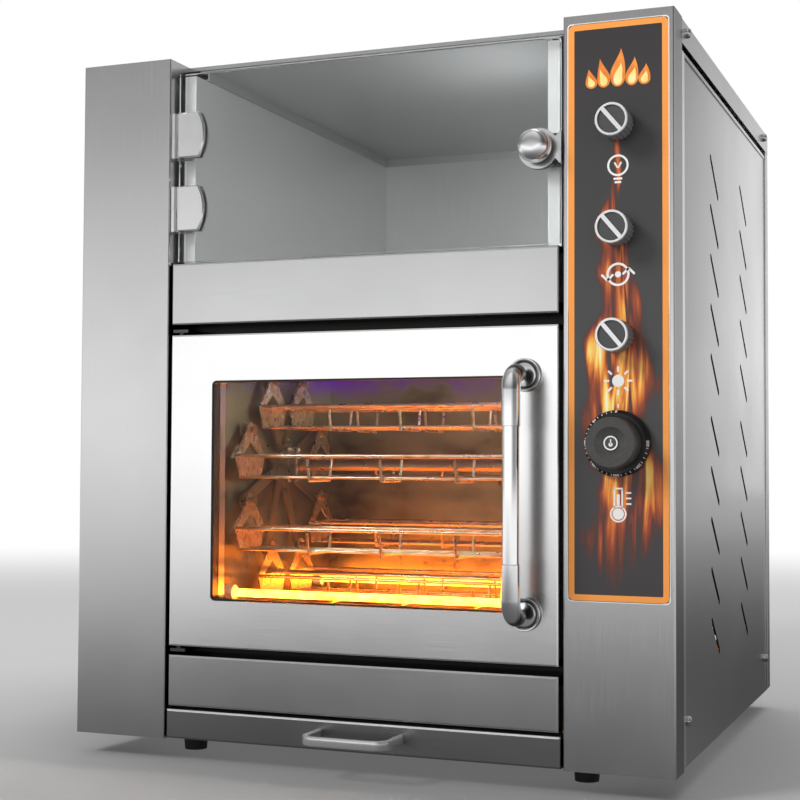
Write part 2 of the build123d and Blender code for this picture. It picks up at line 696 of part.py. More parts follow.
def make_door_inner():
    """Back pan of the door, pressed forward round the window to hold the glass."""
    w = front_half - SHEET - FIT
    low, high = z_door + SHEET + FIT, z_door_top - SHEET - FIT
    pan = block(-w, w, DOOR_T - SHEET, DOOR_T, low, high)
    pan -= front_slab(window_outline(0), DOOR_T - SHEET - 1, DOOR_T + 1)
    y0 = REVEAL_D + 1 + PANE_T + FIT
    return pan + front_slab(window_outline(SHEET) - window_outline(0), y0, DOOR_T - SHEET)


def make_door_seal():
    """Flat rope seal on the back of the door, facing the front plate."""
    w = cavity_half - CAVITY_LIP + DOOR_SEAL_OUT
    low, high = z_doorway() - DOOR_SEAL_OUT, z_cavity_top - CAVITY_LIP + DOOR_SEAL_OUT
    ring = panel(-w, w, low, high, 10) - panel(-w + DOOR_SEAL_W, w - DOOR_SEAL_W,
                                               low + DOOR_SEAL_W, high - DOOR_SEAL_W, 6)
    return front_slab(ring, DOOR_T, PLATE_Y - FIT)


def make_pivot_blocks():
    """Bored blocks in the door's hinge-side corners."""
    bore = 2 * (DOOR_PIN_R + RUN_FIT)
    blocks = []
    x1, y1 = pivot_x() + PIVOT_BLOCK_IN, HINGE_IN + PIVOT_BLOCK_IN
    height = PIVOT_BLOCK_H - SHEET
    for z0 in (z_door + SHEET, z_door_top - PIVOT_BLOCK_H):
        z1 = z0 + height
        piece = block(-front_half + SHEET, x1, SHEET, y1, z0, z1)
        front_edge = piece.edges().filter_by(Axis.Z).sort_by(lambda e: e.center().X + e.center().Y)[0]
        piece = fillet(front_edge, BEND_R)
        blocks.append(piece - rod_z(pivot_x(), HINGE_IN, z0 - 1, z1 + 1, bore))
    return blocks


def make_hinge_brackets():
    """Brackets on the front plate above and below the door, each with a pin into the door."""
    x0, x1 = -front_half + 1, pivot_x() + BRACKET_IN
    brackets = []
    for z_face, way in ((z_door_top, 1), (z_door, -1)):
        near = z_face + way * (HEAD_GAP - BRACKET_T) / 3
        far = near + way * BRACKET_T
        arm = block(x0, x1, HINGE_IN - 2 * DOOR_PIN_R, PLATE_Y, min(near, far), max(near, far))
        tip = z_face - way * DOOR_PIN_L
        pin = rod_z(pivot_x(), HINGE_IN, min(tip, near), max(tip, near), 2 * DOOR_PIN_R)
        brackets.append(arm + pin)
    return brackets


def make_oven_catches():
    """Magnets on the front plate at the free side of the oven door."""
    x1 = front_half - CATCH_IN
    front = DOOR_T + FIT
    half = CATCH_L / 2
    heights = (door_mid_z - CATCH_SPREAD, door_mid_z + CATCH_SPREAD)
    return [block(x1 - CATCH_W, x1, front, PLATE_Y, z - half, z + half) for z in heights]


def handle_x():
    return front_half - HANDLE_IN


def handle_ends():
    """Heights of the handle's lower and upper arms."""
    return door_mid_z - HANDLE_CC / 2, door_mid_z + HANDLE_CC / 2


def make_handle_tube():
    low, high = handle_ends()
    return rod_z(handle_x(), -HANDLE_STANDOFF, low + ELBOW_L, high - ELBOW_L, HANDLE_D)


def make_handle_brackets():
    """Cast brackets of the handle: a round foot on the door and an elbow to the centre tube."""
    low, high = handle_ends()
    run = HANDLE_STANDOFF - ELBOW_R
    brackets = []
    for z, way in ((low, 1), (high, -1)):
        start = (handle_x(), -ROSETTE_T / 2, z)
        turn_in = (handle_x(), -run, z)
        turn_out = (handle_x(), -HANDLE_STANDOFF, z + way * ELBOW_R)
        finish = (handle_x(), -HANDLE_STANDOFF, z + way * ELBOW_L)
        path = Line(start, turn_in) + RadiusArc(turn_in, turn_out, way * ELBOW_R)
        path += Line(turn_out, finish)
        section = Plane(origin=start, z_dir=(0, -1, 0)) * Circle(ELBOW_D / 2)
        foot = rod_y(handle_x(), -ROSETTE_T, 0, z, ROSETTE_D)
        foot = fillet(foot.edges().filter_by(GeomType.CIRCLE).sort_by(Axis.Y)[0], 1.5)
        groove = Circle((GROOVE_D + GROOVE_W) / 2) - Circle((GROOVE_D - GROOVE_W) / 2)
        foot -= front_slab(Pos(handle_x(), z) * groove, -ROSETTE_T - 1, -ROSETTE_T / 2)
        brackets.append(foot + sweep(section, path=path))
    return brackets


# ------------------------------------------------------------------ oven cavity

def wall_bores(x0, x1, d):
    """Cutters for the shaft bushes through both side walls."""
    return rod_x(-x1, -x0, rotor_y, rotor_z, d) + rod_x(x0, x1, rotor_y, rotor_z, d)


def lamp_place():
    return plate_back + OVEN_LAMP_IN, z_cavity_top - OVEN_LAMP_IN


def make_oven_liner():
    """Muffle: side walls, back and top, open in front and over the crumb drawer."""
    w = cavity_half
    outer = block(-w - SHEET, w + SHEET, plate_back, cavity_back + SHEET, z_plate, z_cavity_top + SHEET)
    liner = outer - block(-w, w, 0, cavity_back, 0, z_cavity_top)
    liner -= wall_bores(w - 1, w + SHEET + 1, BUSH_D)
    y, z = lamp_place()
    return liner - rod_x(w - 1, w + SHEET + 1, y, z, OVEN_LAMP_D - 2 * LENS_LAP)


def make_insulation():
    """Mineral-wool slabs over the muffle's sides, top and back, open round the drive and the lamp."""
    w = cavity_half + SHEET
    t = INSULATION_T
    top = z_cavity_top + SHEET
    y0, y1 = plate_back + 5, cavity_back + SHEET
    low = z_door
    left = block(-w - t, -w, y0, y1, low, top) - rod_x(-w - t - 1, -w + 1, rotor_y, rotor_z, BUSH_D + 2)
    right = mirrored(left)
    half = MOTOR_W / 2 + SHEET + 4
    right -= block(0, side, rotor_y - half, rotor_y + half, rotor_z - half, rotor_z + half)
    y, z = lamp_place()
    right -= rod_x(0, side, y, z, OVEN_LAMP_D + 2)
    roof = block(-w - t, w + t, y0, y1, top, top + t)
    rear = block(-w - t, w + t, y1, y1 + t, low, top + t)
    return left, right, roof, rear


def make_bushes():
    """Flanged bushes that carry the shaft; the left one is closed."""
    w = cavity_half
    tube = w + SHEET + INSULATION_T - 1
    right = rod_x(w - BUSH_FLANGE_T, w, rotor_y, rotor_z, BUSH_FLANGE_D)
    right += rod_x(w, tube, rotor_y, rotor_z, BUSH_D)
    left = mirrored(right)
    bore = SHAFT_D + 2 * RUN_FIT
    right -= rod_x(w - BUSH_FLANGE_T - 1, tube + 1, rotor_y, rotor_z, bore)
    left -= rod_x(-tube + 3, -w + BUSH_FLANGE_T + 1, rotor_y, rotor_z, bore)
    return left, right


def ring_places():
    """Depth and height of each basket pivot."""
    turn = [radians(RING_START + 360 / BASKETS * i) for i in range(BASKETS)]
    return [(rotor_y - RING_R * cos(a), rotor_z + RING_R * sin(a)) for a in turn]


def make_hub_clamp():
    """Split block inside a spider that two bolts close on the shaft."""
    x0, x1 = spider_x - CLAMP_BLOCK, spider_x
    h = CLAMP_HALF_H
    clamp = block(x0, x1, rotor_y - h, rotor_y + h, rotor_z - h, rotor_z + h)
    clamp = fillet(clamp.edges().filter_by(Axis.Z), BEND_R)
    clamp -= block(x0 - 1, x1 - 2, rotor_y - h - 1, rotor_y + h + 1,
                   rotor_z - CLAMP_SPLIT / 2, rotor_z + CLAMP_SPLIT / 2)
    clamp -= rod_x(x0 - 1, x1 + 1, rotor_y, rotor_z, SHAFT_D + 2 * RUN_FIT)
    for dy in (-(h + SHAFT_D / 2) / 2, (h + SHAFT_D / 2) / 2):
        bolt_x = (x0 + x1) / 2
        clamp += rod_z(bolt_x, rotor_y + dy, rotor_z, rotor_z + h + CLAMP_BOLT_HEAD, 1.6 * CLAMP_BOLT_D)
        clamp += rod_z(bolt_x, rotor_y + dy, rotor_z - h - CLAMP_BOLT_HEAD, rotor_z, CLAMP_BOLT_D)
    return clamp - rod_x(x0 - 1, x1 + 1, rotor_y, rotor_z, SHAFT_D + 2 * RUN_FIT)


def make_spiders():
    """Armed end plates of the wheel, each with a hub boss and a headed hanger pin on every arm."""
    star = Circle(HUB_D / 2)
    for i in range(BASKETS):
        arm = Pos(RING_R / 2, 0) * Rectangle(RING_R, ARM_W) + Pos(RING_R, 0) * Circle(EYE_R)
        star += Rot(0, 0, 180 - RING_START - 360 / BASKETS * i) * arm
    star -= Circle(SHAFT_D / 2 + RUN_FIT)
    star = Pos(rotor_y, rotor_z) * star
    right = side_slab(star, spider_x, spider_x + SPIDER_T)
    boss = rod_x(spider_x + SPIDER_T, spider_x + SPIDER_T + BOSS_T, rotor_y, rotor_z, BOSS_D)
    boss -= rod_x(spider_x, side, rotor_y, rotor_z, SHAFT_D + 2 * RUN_FIT)
    right += boss + make_hub_clamp()
    for y, z in ring_places():
        right += rod_x(spider_x - HANGER_L, spider_x, y, z, HANGER_D)
        right += rod_x(spider_x - HANGER_L - HANGER_HEAD, spider_x - HANGER_L, y, z, HANGER_D + 3)
    return mirrored(right), right


def make_shaft():
    left_end = -(cavity_half + SHEET + INSULATION_T - 1) + 4
    right_end = motor_x() + GEARBOX_L - 4
    return rod_x(left_end, right_end, rotor_y, rotor_z, SHAFT_D)


def make_basket(y, z):
    """Welded wire tray hung from two gabled end plates."""
    gable = Polyline((-ARM_W / 2, 2), (-RAIL_HALF, -RAIL_DROP), (-TRAY_HALF, -TRAY_DROP),
                     (TRAY_HALF, -TRAY_DROP), (RAIL_HALF, -RAIL_DROP), (ARM_W / 2, 2), close=True)
    gable = make_face(gable) + Circle(EYE_R)
    gable -= Circle(HANGER_D / 2 + EYE_FIT)
    gable -= make_face(Polyline((-RAIL_HALF * 0.55, -RAIL_DROP + 1), (0, -EYE_R - 5),
                                (RAIL_HALF * 0.55, -RAIL_DROP + 1), close=True))
    gable = Pos(y, z) * gable
    ends = [side_slab(gable, x, x + END_PLATE_T) for x in (-end_plate_x - END_PLATE_T, end_plate_x)]
    rail_y = RAIL_HALF - RAIL_D / 2 - 1
    wires = [(-rail_y, -RAIL_DROP, RAIL_D), (rail_y, -RAIL_DROP, RAIL_D)]
    low = -TRAY_DROP + WIRE_D / 2
    inner = TRAY_HALF - WIRE_D / 2
    wires += [(-inner, low, WIRE_D), (0, low, WIRE_D), (inner, low, WIRE_D)]
    rods = [rod_x(-end_plate_x, end_plate_x, y + dy, z + dz, d) for dy, dz, d in wires]
    under = low - WIRE_D
    reach = inner + WIRE_D
    rail_under = -RAIL_DROP - RAIL_D / 2
    hoop = Polyline((-rail_y, rail_under - WIRE_D / 2), (-reach, under), (reach, under),
                    (rail_y, rail_under - WIRE_D / 2))
    first = hoop @ 0
    section = Plane(origin=first, z_dir=hoop % 0) * Circle(WIRE_D / 2)
    bent = sweep(section, path=hoop, transition=Transition.RIGHT)
    hoops = []
    for i in range(CROSS_WIRES):
        x = end_plate_x * (2 * (i + 1) / (CROSS_WIRES + 1) - 1)
        hoops.append(Pos(x, y, z) * (Plane.YZ * bent))
    return ends + rods + hoops


def lower_heater_places():
    low = z_basket_low - HEATER_CLEAR - HEATER_D / 2
    return [(rotor_y + dy, low + HEATER_SAG * (dy != 0)) for dy in (-HEATER_SPREAD, 0, HEATER_SPREAD)]


def upper_heater_places():
    return [(rotor_y + dy, z_cavity_top - UPPER_HEATER_DROP) for dy in (-HEATER_SPREAD, HEATER_SPREAD)]


def make_heater_tubes(places):
    w = cavity_half - HEATER_CAP_L
    return [rod_x(-w, w, y, z, HEATER_D) for y, z in places]


def make_heater_caps():
    """Ceramic end caps that seat the heater tubes on the cavity walls."""
    w = cavity_half
    caps = []
    for y, z in lower_heater_places() + upper_heater_places():
        for x0, x1 in ((-w, -w + HEATER_CAP_L), (w - HEATER_CAP_L, w)):
            caps.append(rod_x(x0, x1, y, z, HEATER_CAP_D))
    return caps


def make_bulb():
    """Thermostat bulb in two clips on the back wall."""
    y = cavity_back - BULB_STANDOFF - BULB_D / 2
    z = rotor_z - BULB_DROP
    bulb = rod_x(BULB_X, BULB_X + BULB_L, y, z, BULB_D)
    for x in (BULB_X + BULB_CLIP_IN, BULB_X + BULB_L - BULB_CLIP_IN - BULB_CLIP_W):
        bulb += block(x, x + BULB_CLIP_W, y, cavity_back, z - BULB_D / 2, z + BULB_D / 2)
    return bulb


def make_oven_lamp():
    """Oven lamp in the right wall: holder outside, flush glass inside."""
    y, z = lamp_place()
    w = cavity_half
    holder = rod_x(w, w + SHEET + INSULATION_T - 2, y, z, OVEN_LAMP_D - 2 * LENS_LAP - FIT)
    lens = rod_x(w - LENS_T, w, y, z, OVEN_LAMP_D)
    lens = chamfer(lens.edges().filter_by(GeomType.CIRCLE).sort_by(Axis.X)[0], 1)
    return holder, lens


def motor_x():
    """Gearbox face on the drive bracket."""
    return cavity_half + SHEET + INSULATION_T + 4


def make_motor_bracket():
    """Channel from the cavity wall that carries the gearmotor."""
    half = MOTOR_W / 2 + SHEET
    x1 = motor_x()
    bracket = block(x1 - 2, x1, rotor_y - half, rotor_y + half, rotor_z - half, rotor_z + half)
    for y in (rotor_y - half, rotor_y + half - 2):
        bracket += block(cavity_half + SHEET, x1 - 2, y, y + 2, rotor_z - half, rotor_z + half)
    return bracket - rod_x(x1 - 5, x1 + 1, rotor_y, rotor_z, BUSH_D + 4)


def make_gearmotor():
    """Gearbox with a hollow output and the motor on its end."""
    x = motor_x()
    body = rod_x(x, x + GEARBOX_L, rotor_y, rotor_z, GEARBOX_D)
    body += rod_x(x + GEARBOX_L, x + GEARBOX_L + MOTOR_L, rotor_y, rotor_z, MOTOR_D)
    return body - rod_x(x - 1, x + GEARBOX_L - 2, rotor_y, rotor_z, SHAFT_D + 2 * RUN_FIT)


# ------------------------------------------------------------------ controls

def make_label():
    """Printed overlay on the control column, pierced for the knobs."""
    x0, x1 = bay + LABEL_MARGIN, side - LABEL_MARGIN
    top = z_roof - LABEL_TOP_GAP
    label = front_slab(panel(x0, x1, top - LABEL_H, top, LABEL_R), -LABEL_T, 0)
    for z in control_heights():
        label -= rod_y(control_x, -LABEL_T - 1, 1, z, NECK_D + FIT)
    return label


def make_switch(z, width, depth):
    """Switch or thermostat body behind the column, with its bored neck through the front."""
    half = width / 2
    body = block(control_x - half, control_x + half, SHEET, SHEET + depth, z - half, z + half)
    body += rod_y(control_x, -NECK_OUT, SHEET, z, NECK_D)
    w, h = TERMINAL_W / 2, TERMINAL_L / 2
    for way in (-1, 1):
        x = control_x + way * half / 2
        body += block(x - w, x + w, SHEET + depth, SHEET + depth + TERMINAL_L, z - h, z + h)
    return body - rod_y(control_x, -NECK_OUT - 1, SHEET + depth - 4, z, SPINDLE_D + 2 * RUN_FIT)


def make_spindle(z, depth, front):
    return rod_y(control_x, front, SHEET + depth - 4.5, z, SPINDLE_D)


def neck_hollow(back, z):
    """Hollow in the back of a knob, round the neck of its switch."""
    return rod_y(control_x, back - KNOB_HOLLOW, back + 1, z, NECK_D + 2 * NECK_CLEAR)


def make_switch_knob(z):
    """Fluted knob with a raised rim and pointer on its face, and its spindle."""
    back = -LABEL_T - KNOB_GAP
    front = back - SWITCH_KNOB_H
    knob = rod_y(control_x, front, back, z, SWITCH_KNOB_D)
    knob = chamfer(knob.edges().filter_by(GeomType.CIRCLE).sort_by(Axis.Y)[0], KNOB_RELIEF / 2)
    grooves = Sketch()
    for place in PolarLocations((SWITCH_KNOB_D / 2) + FLUTE_R - FLUTE_BITE, KNOB_FLUTES):
        grooves += Pos(control_x, z) * place * Circle(FLUTE_R)
    knob -= front_slab(grooves, front + 2 * KNOB_RIM_W, back + 1)
    face_d = SWITCH_KNOB_D - 2 * KNOB_RIM_W
    knob -= rod_y(control_x, front - 1, front + KNOB_RELIEF, z, face_d)
    bar = Rot(0, 0, -POINTER_TURN) * Rectangle(face_d, POINTER_W)
    knob += front_slab(Pos(control_x, z) * bar, front, front + KNOB_RELIEF)
    return knob - neck_hollow(back, z) + make_spindle(z, SWITCH_DEPTH, back - SPINDLE_IN)


def make_dial(z):
    """Thermostat dial: a flat skirt, a round grip with an eye in its dished face, and its spindle."""
    back = -LABEL_T - KNOB_GAP
    front = back - DIAL_H
    skirt = rod_y(control_x, back - DIAL_SKIRT_H, back, z, DIAL_SKIRT_D)
    skirt = chamfer(skirt.edges().filter_by(GeomType.CIRCLE).sort_by(Axis.Y)[0], 3)
    grip = rod_y(control_x, front, back - DIAL_SKIRT_H, z, DIAL_GRIP_D)
    grip = fillet(grip.edges().filter_by(GeomType.CIRCLE).sort_by(Axis.Y)[0], 2)
    dish_r = ((DISH_D / 2) ** 2 + DISH_DEEP ** 2) / (2 * DISH_DEEP)
    dish = Pos(control_x, front + DISH_DEEP - dish_r, z) * Sphere(dish_r)
    eye = rod_y(control_x, front + DISH_DEEP / 2, front + 2 * DISH_DEEP, z, DIAL_EYE_D)
    dial = skirt + grip - dish + eye
    return dial - neck_hollow(back, z) + make_spindle(z, THERMOSTAT_DEPTH, back - SPINDLE_IN)


# ------------------------------------------------------------------ drawer and services

def drawer_half():
    return bay - DRAWER_SIDE_GAP


def make_drawer_front():
    return folded_front(-drawer_half(), drawer_half(), z_drawer, z_drawer_top, DRAWER_FOLD)


def make_drawer_tray():
    """Shallow tray welded to the back of the drawer front."""
    half = bay - TRAY_SIDE
    low = z_body + SHEET + RUNNER_T + FIT
    outer = block(-half, half, SHEET, TRAY_LEN, low, low + TRAY_H)
    w = TRAY_WALL
    return outer - block(-half + w, half - w, SHEET + w, TRAY_LEN - w, low + w, low + TRAY_H + 1)


def make_drawer_loop():
    """Flat bar bent into a loop with chamfered corners."""
    x0, x1 = LOOP_OFFSET - LOOP_W / 2, LOOP_OFFSET + LOOP_W / 2

    def outline(inset, back):
        a, b = x0 + inset, x1 - inset
        front, c = LOOP_REACH - inset, LOOP_CORNER - inset * 0.6
        points = [(a, -back), (a, front - c), (a + c, front), (b - c, front), (b, front - c), (b, -back)]
        return make_face(Polyline(*points, close=True))

    ring = outline(0, 0) - outline(LOOP_T, 1)
    z0 = (z_drawer + z_drawer_top) / 2 + 1.5 - LOOP_H / 2
    return Pos(0, 0, z0) * mirror(extrude(ring, LOOP_H), about=Plane.XZ)


def make_runners():
    """Angles on the base pan that carry and guide the drawer tray."""
    guide = bay - TRAY_SIDE + 1
    z = z_body + SHEET
    start, end = DRAWER_FOLD + 4, TRAY_LEN + RUNNER_PAST
    left = block(-guide - SHEET, -guide + RUNNER_W, start, end, z, z + RUNNER_T)
    left += block(-guide - SHEET, -guide, start, end, z, z + RUNNER_H)
    return left, mirrored(left)


def make_gland():
    """Cable gland: hexagon flange, body through the back panel and a dome nut."""
    z = z_body + GLAND_Z
    thread = GLAND_D * 2 / 3 - FIT
    gland = rod_y(gland_x, BODY_D - SHEET - 6, BODY_D + GLAND_REACH - 6, z, thread)
    hexagon = Pos(gland_x, z) * RegularPolygon(GLAND_D / 2, 6)
    gland += front_slab(hexagon, BODY_D, BODY_D + GLAND_HEX_T)
    gland += front_slab(hexagon, BODY_D - SHEET - GLAND_LOCK_T, BODY_D - SHEET)
    nut = rod_y(gland_x, BODY_D + GLAND_HEX_T + 1, BODY_D + GLAND_REACH, z, GLAND_D * 0.9)
    nut = fillet(nut.edges().filter_by(GeomType.CIRCLE).sort_by(Axis.Y)[-1], 3)
    gland += nut
    return gland - rod_y(gland_x, BODY_D - 20, BODY_D + GLAND_REACH + 1, z, GLAND_BORE_D)


# ------------------------------------------------------------------ write every node

os.makedirs("parts", exist_ok=True)

save("left_column", make_column())
save("control_column", make_control_column())
save("roof_cover", make_roof())
save("left_side_panel", make_side_panel())
save("right_side_panel", mirrored(make_side_panel()))
save("back_panel", make_back_panel())
save("base_pan", make_base_pan())
save("rubber_feet", *make_feet())
save("panel_screws", *make_screws())

save("cabinet_liner", make_cabinet_liner())
save("cabinet_ceiling", make_cabinet_ceiling())
save("cabinet_floor", make_cabinet_floor())
save("shelf_front", make_shelf_front())
cabinet_holder, cabinet_lens = make_cabinet_lamp()
oven_holder, oven_lens = make_oven_lamp()
save("lamp_holders", cabinet_holder, oven_holder)
save("lamp_lenses", cabinet_lens, oven_lens)
save("cabinet_hinge_leaves", *make_hinge_leaves())
save("magnetic_catches", make_cabinet_catch(), *make_oven_catches())

save("cabinet_glass", make_glass())
save("glass_clamps", make_knob_clamp(), *make_hinge_clamps())
save("cabinet_knob", make_cabinet_knob())

save("front_plate", make_front_plate())
save("lower_fascia", make_lower_fascia())
save("oven_hinge_brackets", *make_hinge_brackets())

save("oven_door_shell", make_door_shell())
save("window_seal", make_window_seal())
save("window_pane", make_pane())
save("oven_door_inner", make_door_inner())
save("oven_door_seal", make_door_seal())
save("door_pivot_blocks", *make_pivot_blocks())
save("handle_tube", make_handle_tube())
save("handle_brackets", *make_handle_brackets())

save("oven_liner", make_oven_liner())
save("oven_insulation", *make_insulation())
save("shaft_bushes", *make_bushes())
save("rotor_spiders", *make_spiders())
save("rotor_shaft", make_shaft())
for number, (pivot_y, pivot_z) in enumerate(ring_places(), start=1):
    save(f"basket_{number}", *make_basket(pivot_y, pivot_z))
save("heater_tubes", *make_heater_tubes(lower_heater_places() + upper_heater_places()))
save("heater_caps", *make_heater_caps())
save("motor_bracket", make_motor_bracket())
save("gearmotor", make_gearmotor())

save("control_label", make_label())
switch_heights = control_heights()[:SWITCH_KNOBS]
dial_height = control_heights()[-1]
save("rotary_switches", *[make_switch(z, SWITCH_W, SWITCH_DEPTH) for z in switch_heights])
for number, height in enumerate(switch_heights, start=1):
    save(f"switch_knob_{number}", make_switch_knob(height))
save("thermostat", make_switch(dial_height, THERMOSTAT_W, THERMOSTAT_DEPTH), make_bulb())
save("thermostat_dial", make_dial(dial_height))

save("drawer_front", make_drawer_front())
save("drawer_tray", make_drawer_tray())
save("drawer_handle", make_drawer_loop())
save("drawer_runners", *make_runners())
save("cable_gland", make_gland())
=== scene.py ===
from math import cos, pi, radians, sin

import bpy
from mathutils import Matrix, Vector


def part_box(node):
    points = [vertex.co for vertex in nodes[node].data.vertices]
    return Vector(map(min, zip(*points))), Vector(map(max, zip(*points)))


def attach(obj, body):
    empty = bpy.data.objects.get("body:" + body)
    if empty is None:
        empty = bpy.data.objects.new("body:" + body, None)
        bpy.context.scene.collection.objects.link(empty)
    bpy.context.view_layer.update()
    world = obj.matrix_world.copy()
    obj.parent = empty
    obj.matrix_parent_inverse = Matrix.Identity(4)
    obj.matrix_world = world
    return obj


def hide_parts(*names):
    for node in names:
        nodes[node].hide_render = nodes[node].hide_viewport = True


# Counter-top sweet potato oven: finishes, printed film, dial marks and the small fittings.
# Metres in the CAD frame; sizes that a maker would quote are written in millimetres and turned by mm().

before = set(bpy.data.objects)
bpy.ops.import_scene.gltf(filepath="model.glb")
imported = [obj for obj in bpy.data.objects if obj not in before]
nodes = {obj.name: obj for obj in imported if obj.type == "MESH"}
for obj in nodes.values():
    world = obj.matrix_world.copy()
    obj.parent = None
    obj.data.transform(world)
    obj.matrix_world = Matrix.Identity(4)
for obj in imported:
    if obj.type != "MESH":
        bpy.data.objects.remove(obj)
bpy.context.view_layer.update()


def mm(*values):
    """Millimetres to metres: one number, or a vector of three."""
    return values[0] / 1000 if len(values) == 1 else Vector(values) / 1000


# ---------------------------------------- camera

EYE = (580, -1626.3, 301.9)
YAW, PITCH, ROLL = 21.55, 2.29, 0.26
SENSOR_W, LENS = 36, 68.6


def place_camera():
    """Eye a little right of the oven and at the height of its middle, looking slightly up."""
    camera = bpy.data.objects.new("camera", bpy.data.cameras.new("camera"))
    bpy.context.scene.collection.objects.link(camera)
    turn = (Matrix.Rotation(radians(YAW), 4, "Z") @ Matrix.Rotation(pi / 2 + radians(PITCH), 4, "X")
            @ Matrix.Rotation(radians(ROLL), 4, "Z"))
    camera.matrix_world = Matrix.Translation(mm(*EYE)) @ turn
    camera.data.sensor_width = SENSOR_W
    camera.data.lens = LENS
    camera.data.clip_start = 0.05
    camera.data.clip_end = 60
    bpy.context.scene.camera = camera


# ---------------------------------------- node and colour helpers

def colour(hex_code):
    """Linear RGBA of an sRGB hex colour."""
    parts = [int(hex_code[i:i + 2], 16) / 255 for i in (1, 3, 5)]
    return [c / 12.92 if c <= 0.04045 else ((c + 0.055) / 1.055) ** 2.4 for c in parts] + [1.0]


def connect(node, socket, value):
    """Feeds a socket from a node or an output, or sets it to a hex colour or a plain value."""
    if isinstance(value, bpy.types.Node):
        mixes_colour = value.bl_idname == "ShaderNodeMix" and value.data_type == "RGBA"
        value = value.outputs[2 if mixes_colour else 0]
    if isinstance(value, bpy.types.NodeSocket):
        node.id_data.links.new(value, node.inputs[socket])
    else:
        node.inputs[socket].default_value = colour(value) if isinstance(value, str) else value


def feed(shader, **inputs):
    """Connects sockets of a shader; a name has underscores for its spaces."""
    for name, value in inputs.items():
        connect(shader, name.replace("_", " "), value)


def add(tree, kind, inputs=None, **settings):
    """Adds a shader node with its settings, and connects its inputs."""
    made = tree.nodes.new("ShaderNode" + kind)
    for name, value in settings.items():
        setattr(made, name, value)
    for socket, value in (inputs or {}).items():
        connect(made, socket, value)
    return made


def new_material(name, **inputs):
    """Material with one Principled shader; returns it with its tree and shader."""
    material = bpy.data.materials.new(name)
    material.use_nodes = True
    shader = material.node_tree.nodes["Principled BSDF"]
    feed(shader, **inputs)
    return material, material.node_tree, shader


def maths(tree, operation, *values):
    return add(tree, "Math", dict(enumerate(values)), operation=operation)


def times(tree, first, second):
    return maths(tree, "MULTIPLY", first, second)


def slope(tree, value, start=0.0, end=1.0, low=0.0, high=1.0, **settings):
    """Goes from low to high as a value goes from start to end, and stays level outside them."""
    return add(tree, "MapRange", {"Value": value, "From Min": start, "From Max": end, "To Min": low,
                                  "To Max": high}, **settings)


def tones(tree, value, *stops):
    """Colour ramp over a value; each stop is a position with a hex colour or a grey level."""
    made = add(tree, "ValToRGB", {0: value})
    ramp = made.color_ramp
    while len(ramp.elements) < len(stops):
        ramp.elements.new(0.5)
    for element, (position, shade) in zip(ramp.elements, stops):
        element.position = position
        element.color = colour(shade) if isinstance(shade, str) else (shade, shade, shade, 1)
    return made


def mixed(tree, factor, first, second):
    """One colour that goes over into another."""
    return add(tree, "Mix", {0: factor, 6: first, 7: second}, data_type="RGBA")


def object_place(tree):
    return add(tree, "TexCoord").outputs["Object"]


def along(tree, axis):
    """Place along an object axis, in metres."""
    return add(tree, "SeparateXYZ", {0: object_place(tree)}).outputs[axis]


def off_middle(tree):
    """Distance from the oven's middle plane, to either side."""
    return maths(tree, "ABSOLUTE", along(tree, "X"))


def band(tree, axis, start, end, soft=0.4):
    """1 between two places in metres along an object axis, 0 outside them; the edges are so many mm soft."""
    place = along(tree, axis)
    return times(tree, slope(tree, place, start, start + mm(soft)), slope(tree, place, end, end - mm(soft)))


def noise(tree, *grain, **inputs):
    """Noise with a grain of so many millimetres along x, y and z, or the same along all three."""
    x, y, z = grain if len(grain) == 3 else grain * 3
    place = add(tree, "Mapping", {"Vector": object_place(tree), "Scale": (1000 / x, 1000 / y, 1000 / z)})
    return add(tree, "TexNoise", {"Vector": place, "Scale": 1.0, **inputs})


def relief(shader, pattern, strength, depth):
    """Bump from a pattern, so many millimetres deep."""
    feed(shader, Normal=add(shader.id_data, "Bump", {"Height": pattern, "Strength": strength,
                                                     "Distance": mm(depth)}))


def overlay(material, factor, shade):
    """Mixes a second colour over the material's base colour."""
    tree = material.node_tree
    base = tree.nodes["Principled BSDF"].inputs["Base Color"]
    below = base.links[0].from_socket if base.links else base.default_value[:]
    feed(base.node, Base_Color=mixed(tree, factor, below, shade))


def dress(material, *names):
    """Gives CAD nodes a material."""
    for name in names:
        for slot in nodes[name].material_slots:
            slot.material = material


# ---------------------------------------- sizes in millimetres

COLUMN_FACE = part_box("left_column")[0][1]  # front face of the uprights, in metres
BODY_HALF, BODY_D = 310, 585
HEM = (38, 50)      # raised strip of a side panel, behind the column faces
STANDOFF = 44.0     # door handle tube in front of the door
TUBE_D = 16.0
ELBOW_D = 17.5
ELBOW_R = 18.0
ELBOW_L = 48.0
KNOB_NECK = 5.0     # turned knob on the glass: stem, then drum, then dome
KNOB_DRUM = 9.0
ROSETTE_D = 31.0
ROSETTE_T = 4.5
LOOP_T = 5.5        # drawer loop
LOOP_CORNER = 13.0
SCREW_D = 9.5
SCREW_H = 4.4
SCREW_ROUND = 2.6
RECESS_L = 5.2
RECESS_W = 1.3
RECESS_DEEP = 1.8
SLOT_OPEN = 7.0     # open slot between a side panel and the roof's fold
LIP_T, LIP_H = 2.0, 2.8
LIP_FROM = 18.6     # ends of the slot lips, from the front and rear edges of the panel
LIP_TO = 21.1
KNOB_GAP = 1.4      # knobs and dial to the label
KNOB_RELIEF = 1.5   # rim and pointer above the face
DIAL_SKIRT_D = 60.0
DIAL_SKIRT_H = 8.0
SKIRT_BEVEL = 3.0
DISH_DEEP = 3.0
GRAIN_W = 0.55      # finer on the real sheet; drawn as coarse as it needs to show
GRAIN_L = 60.0
SMUDGE = 140.0
INK = 0.08          # height of printed marks
SIGN_DROP, DIAL_SIGN_DROP = 40, 55  # signs below the knobs' axes and below the dial's
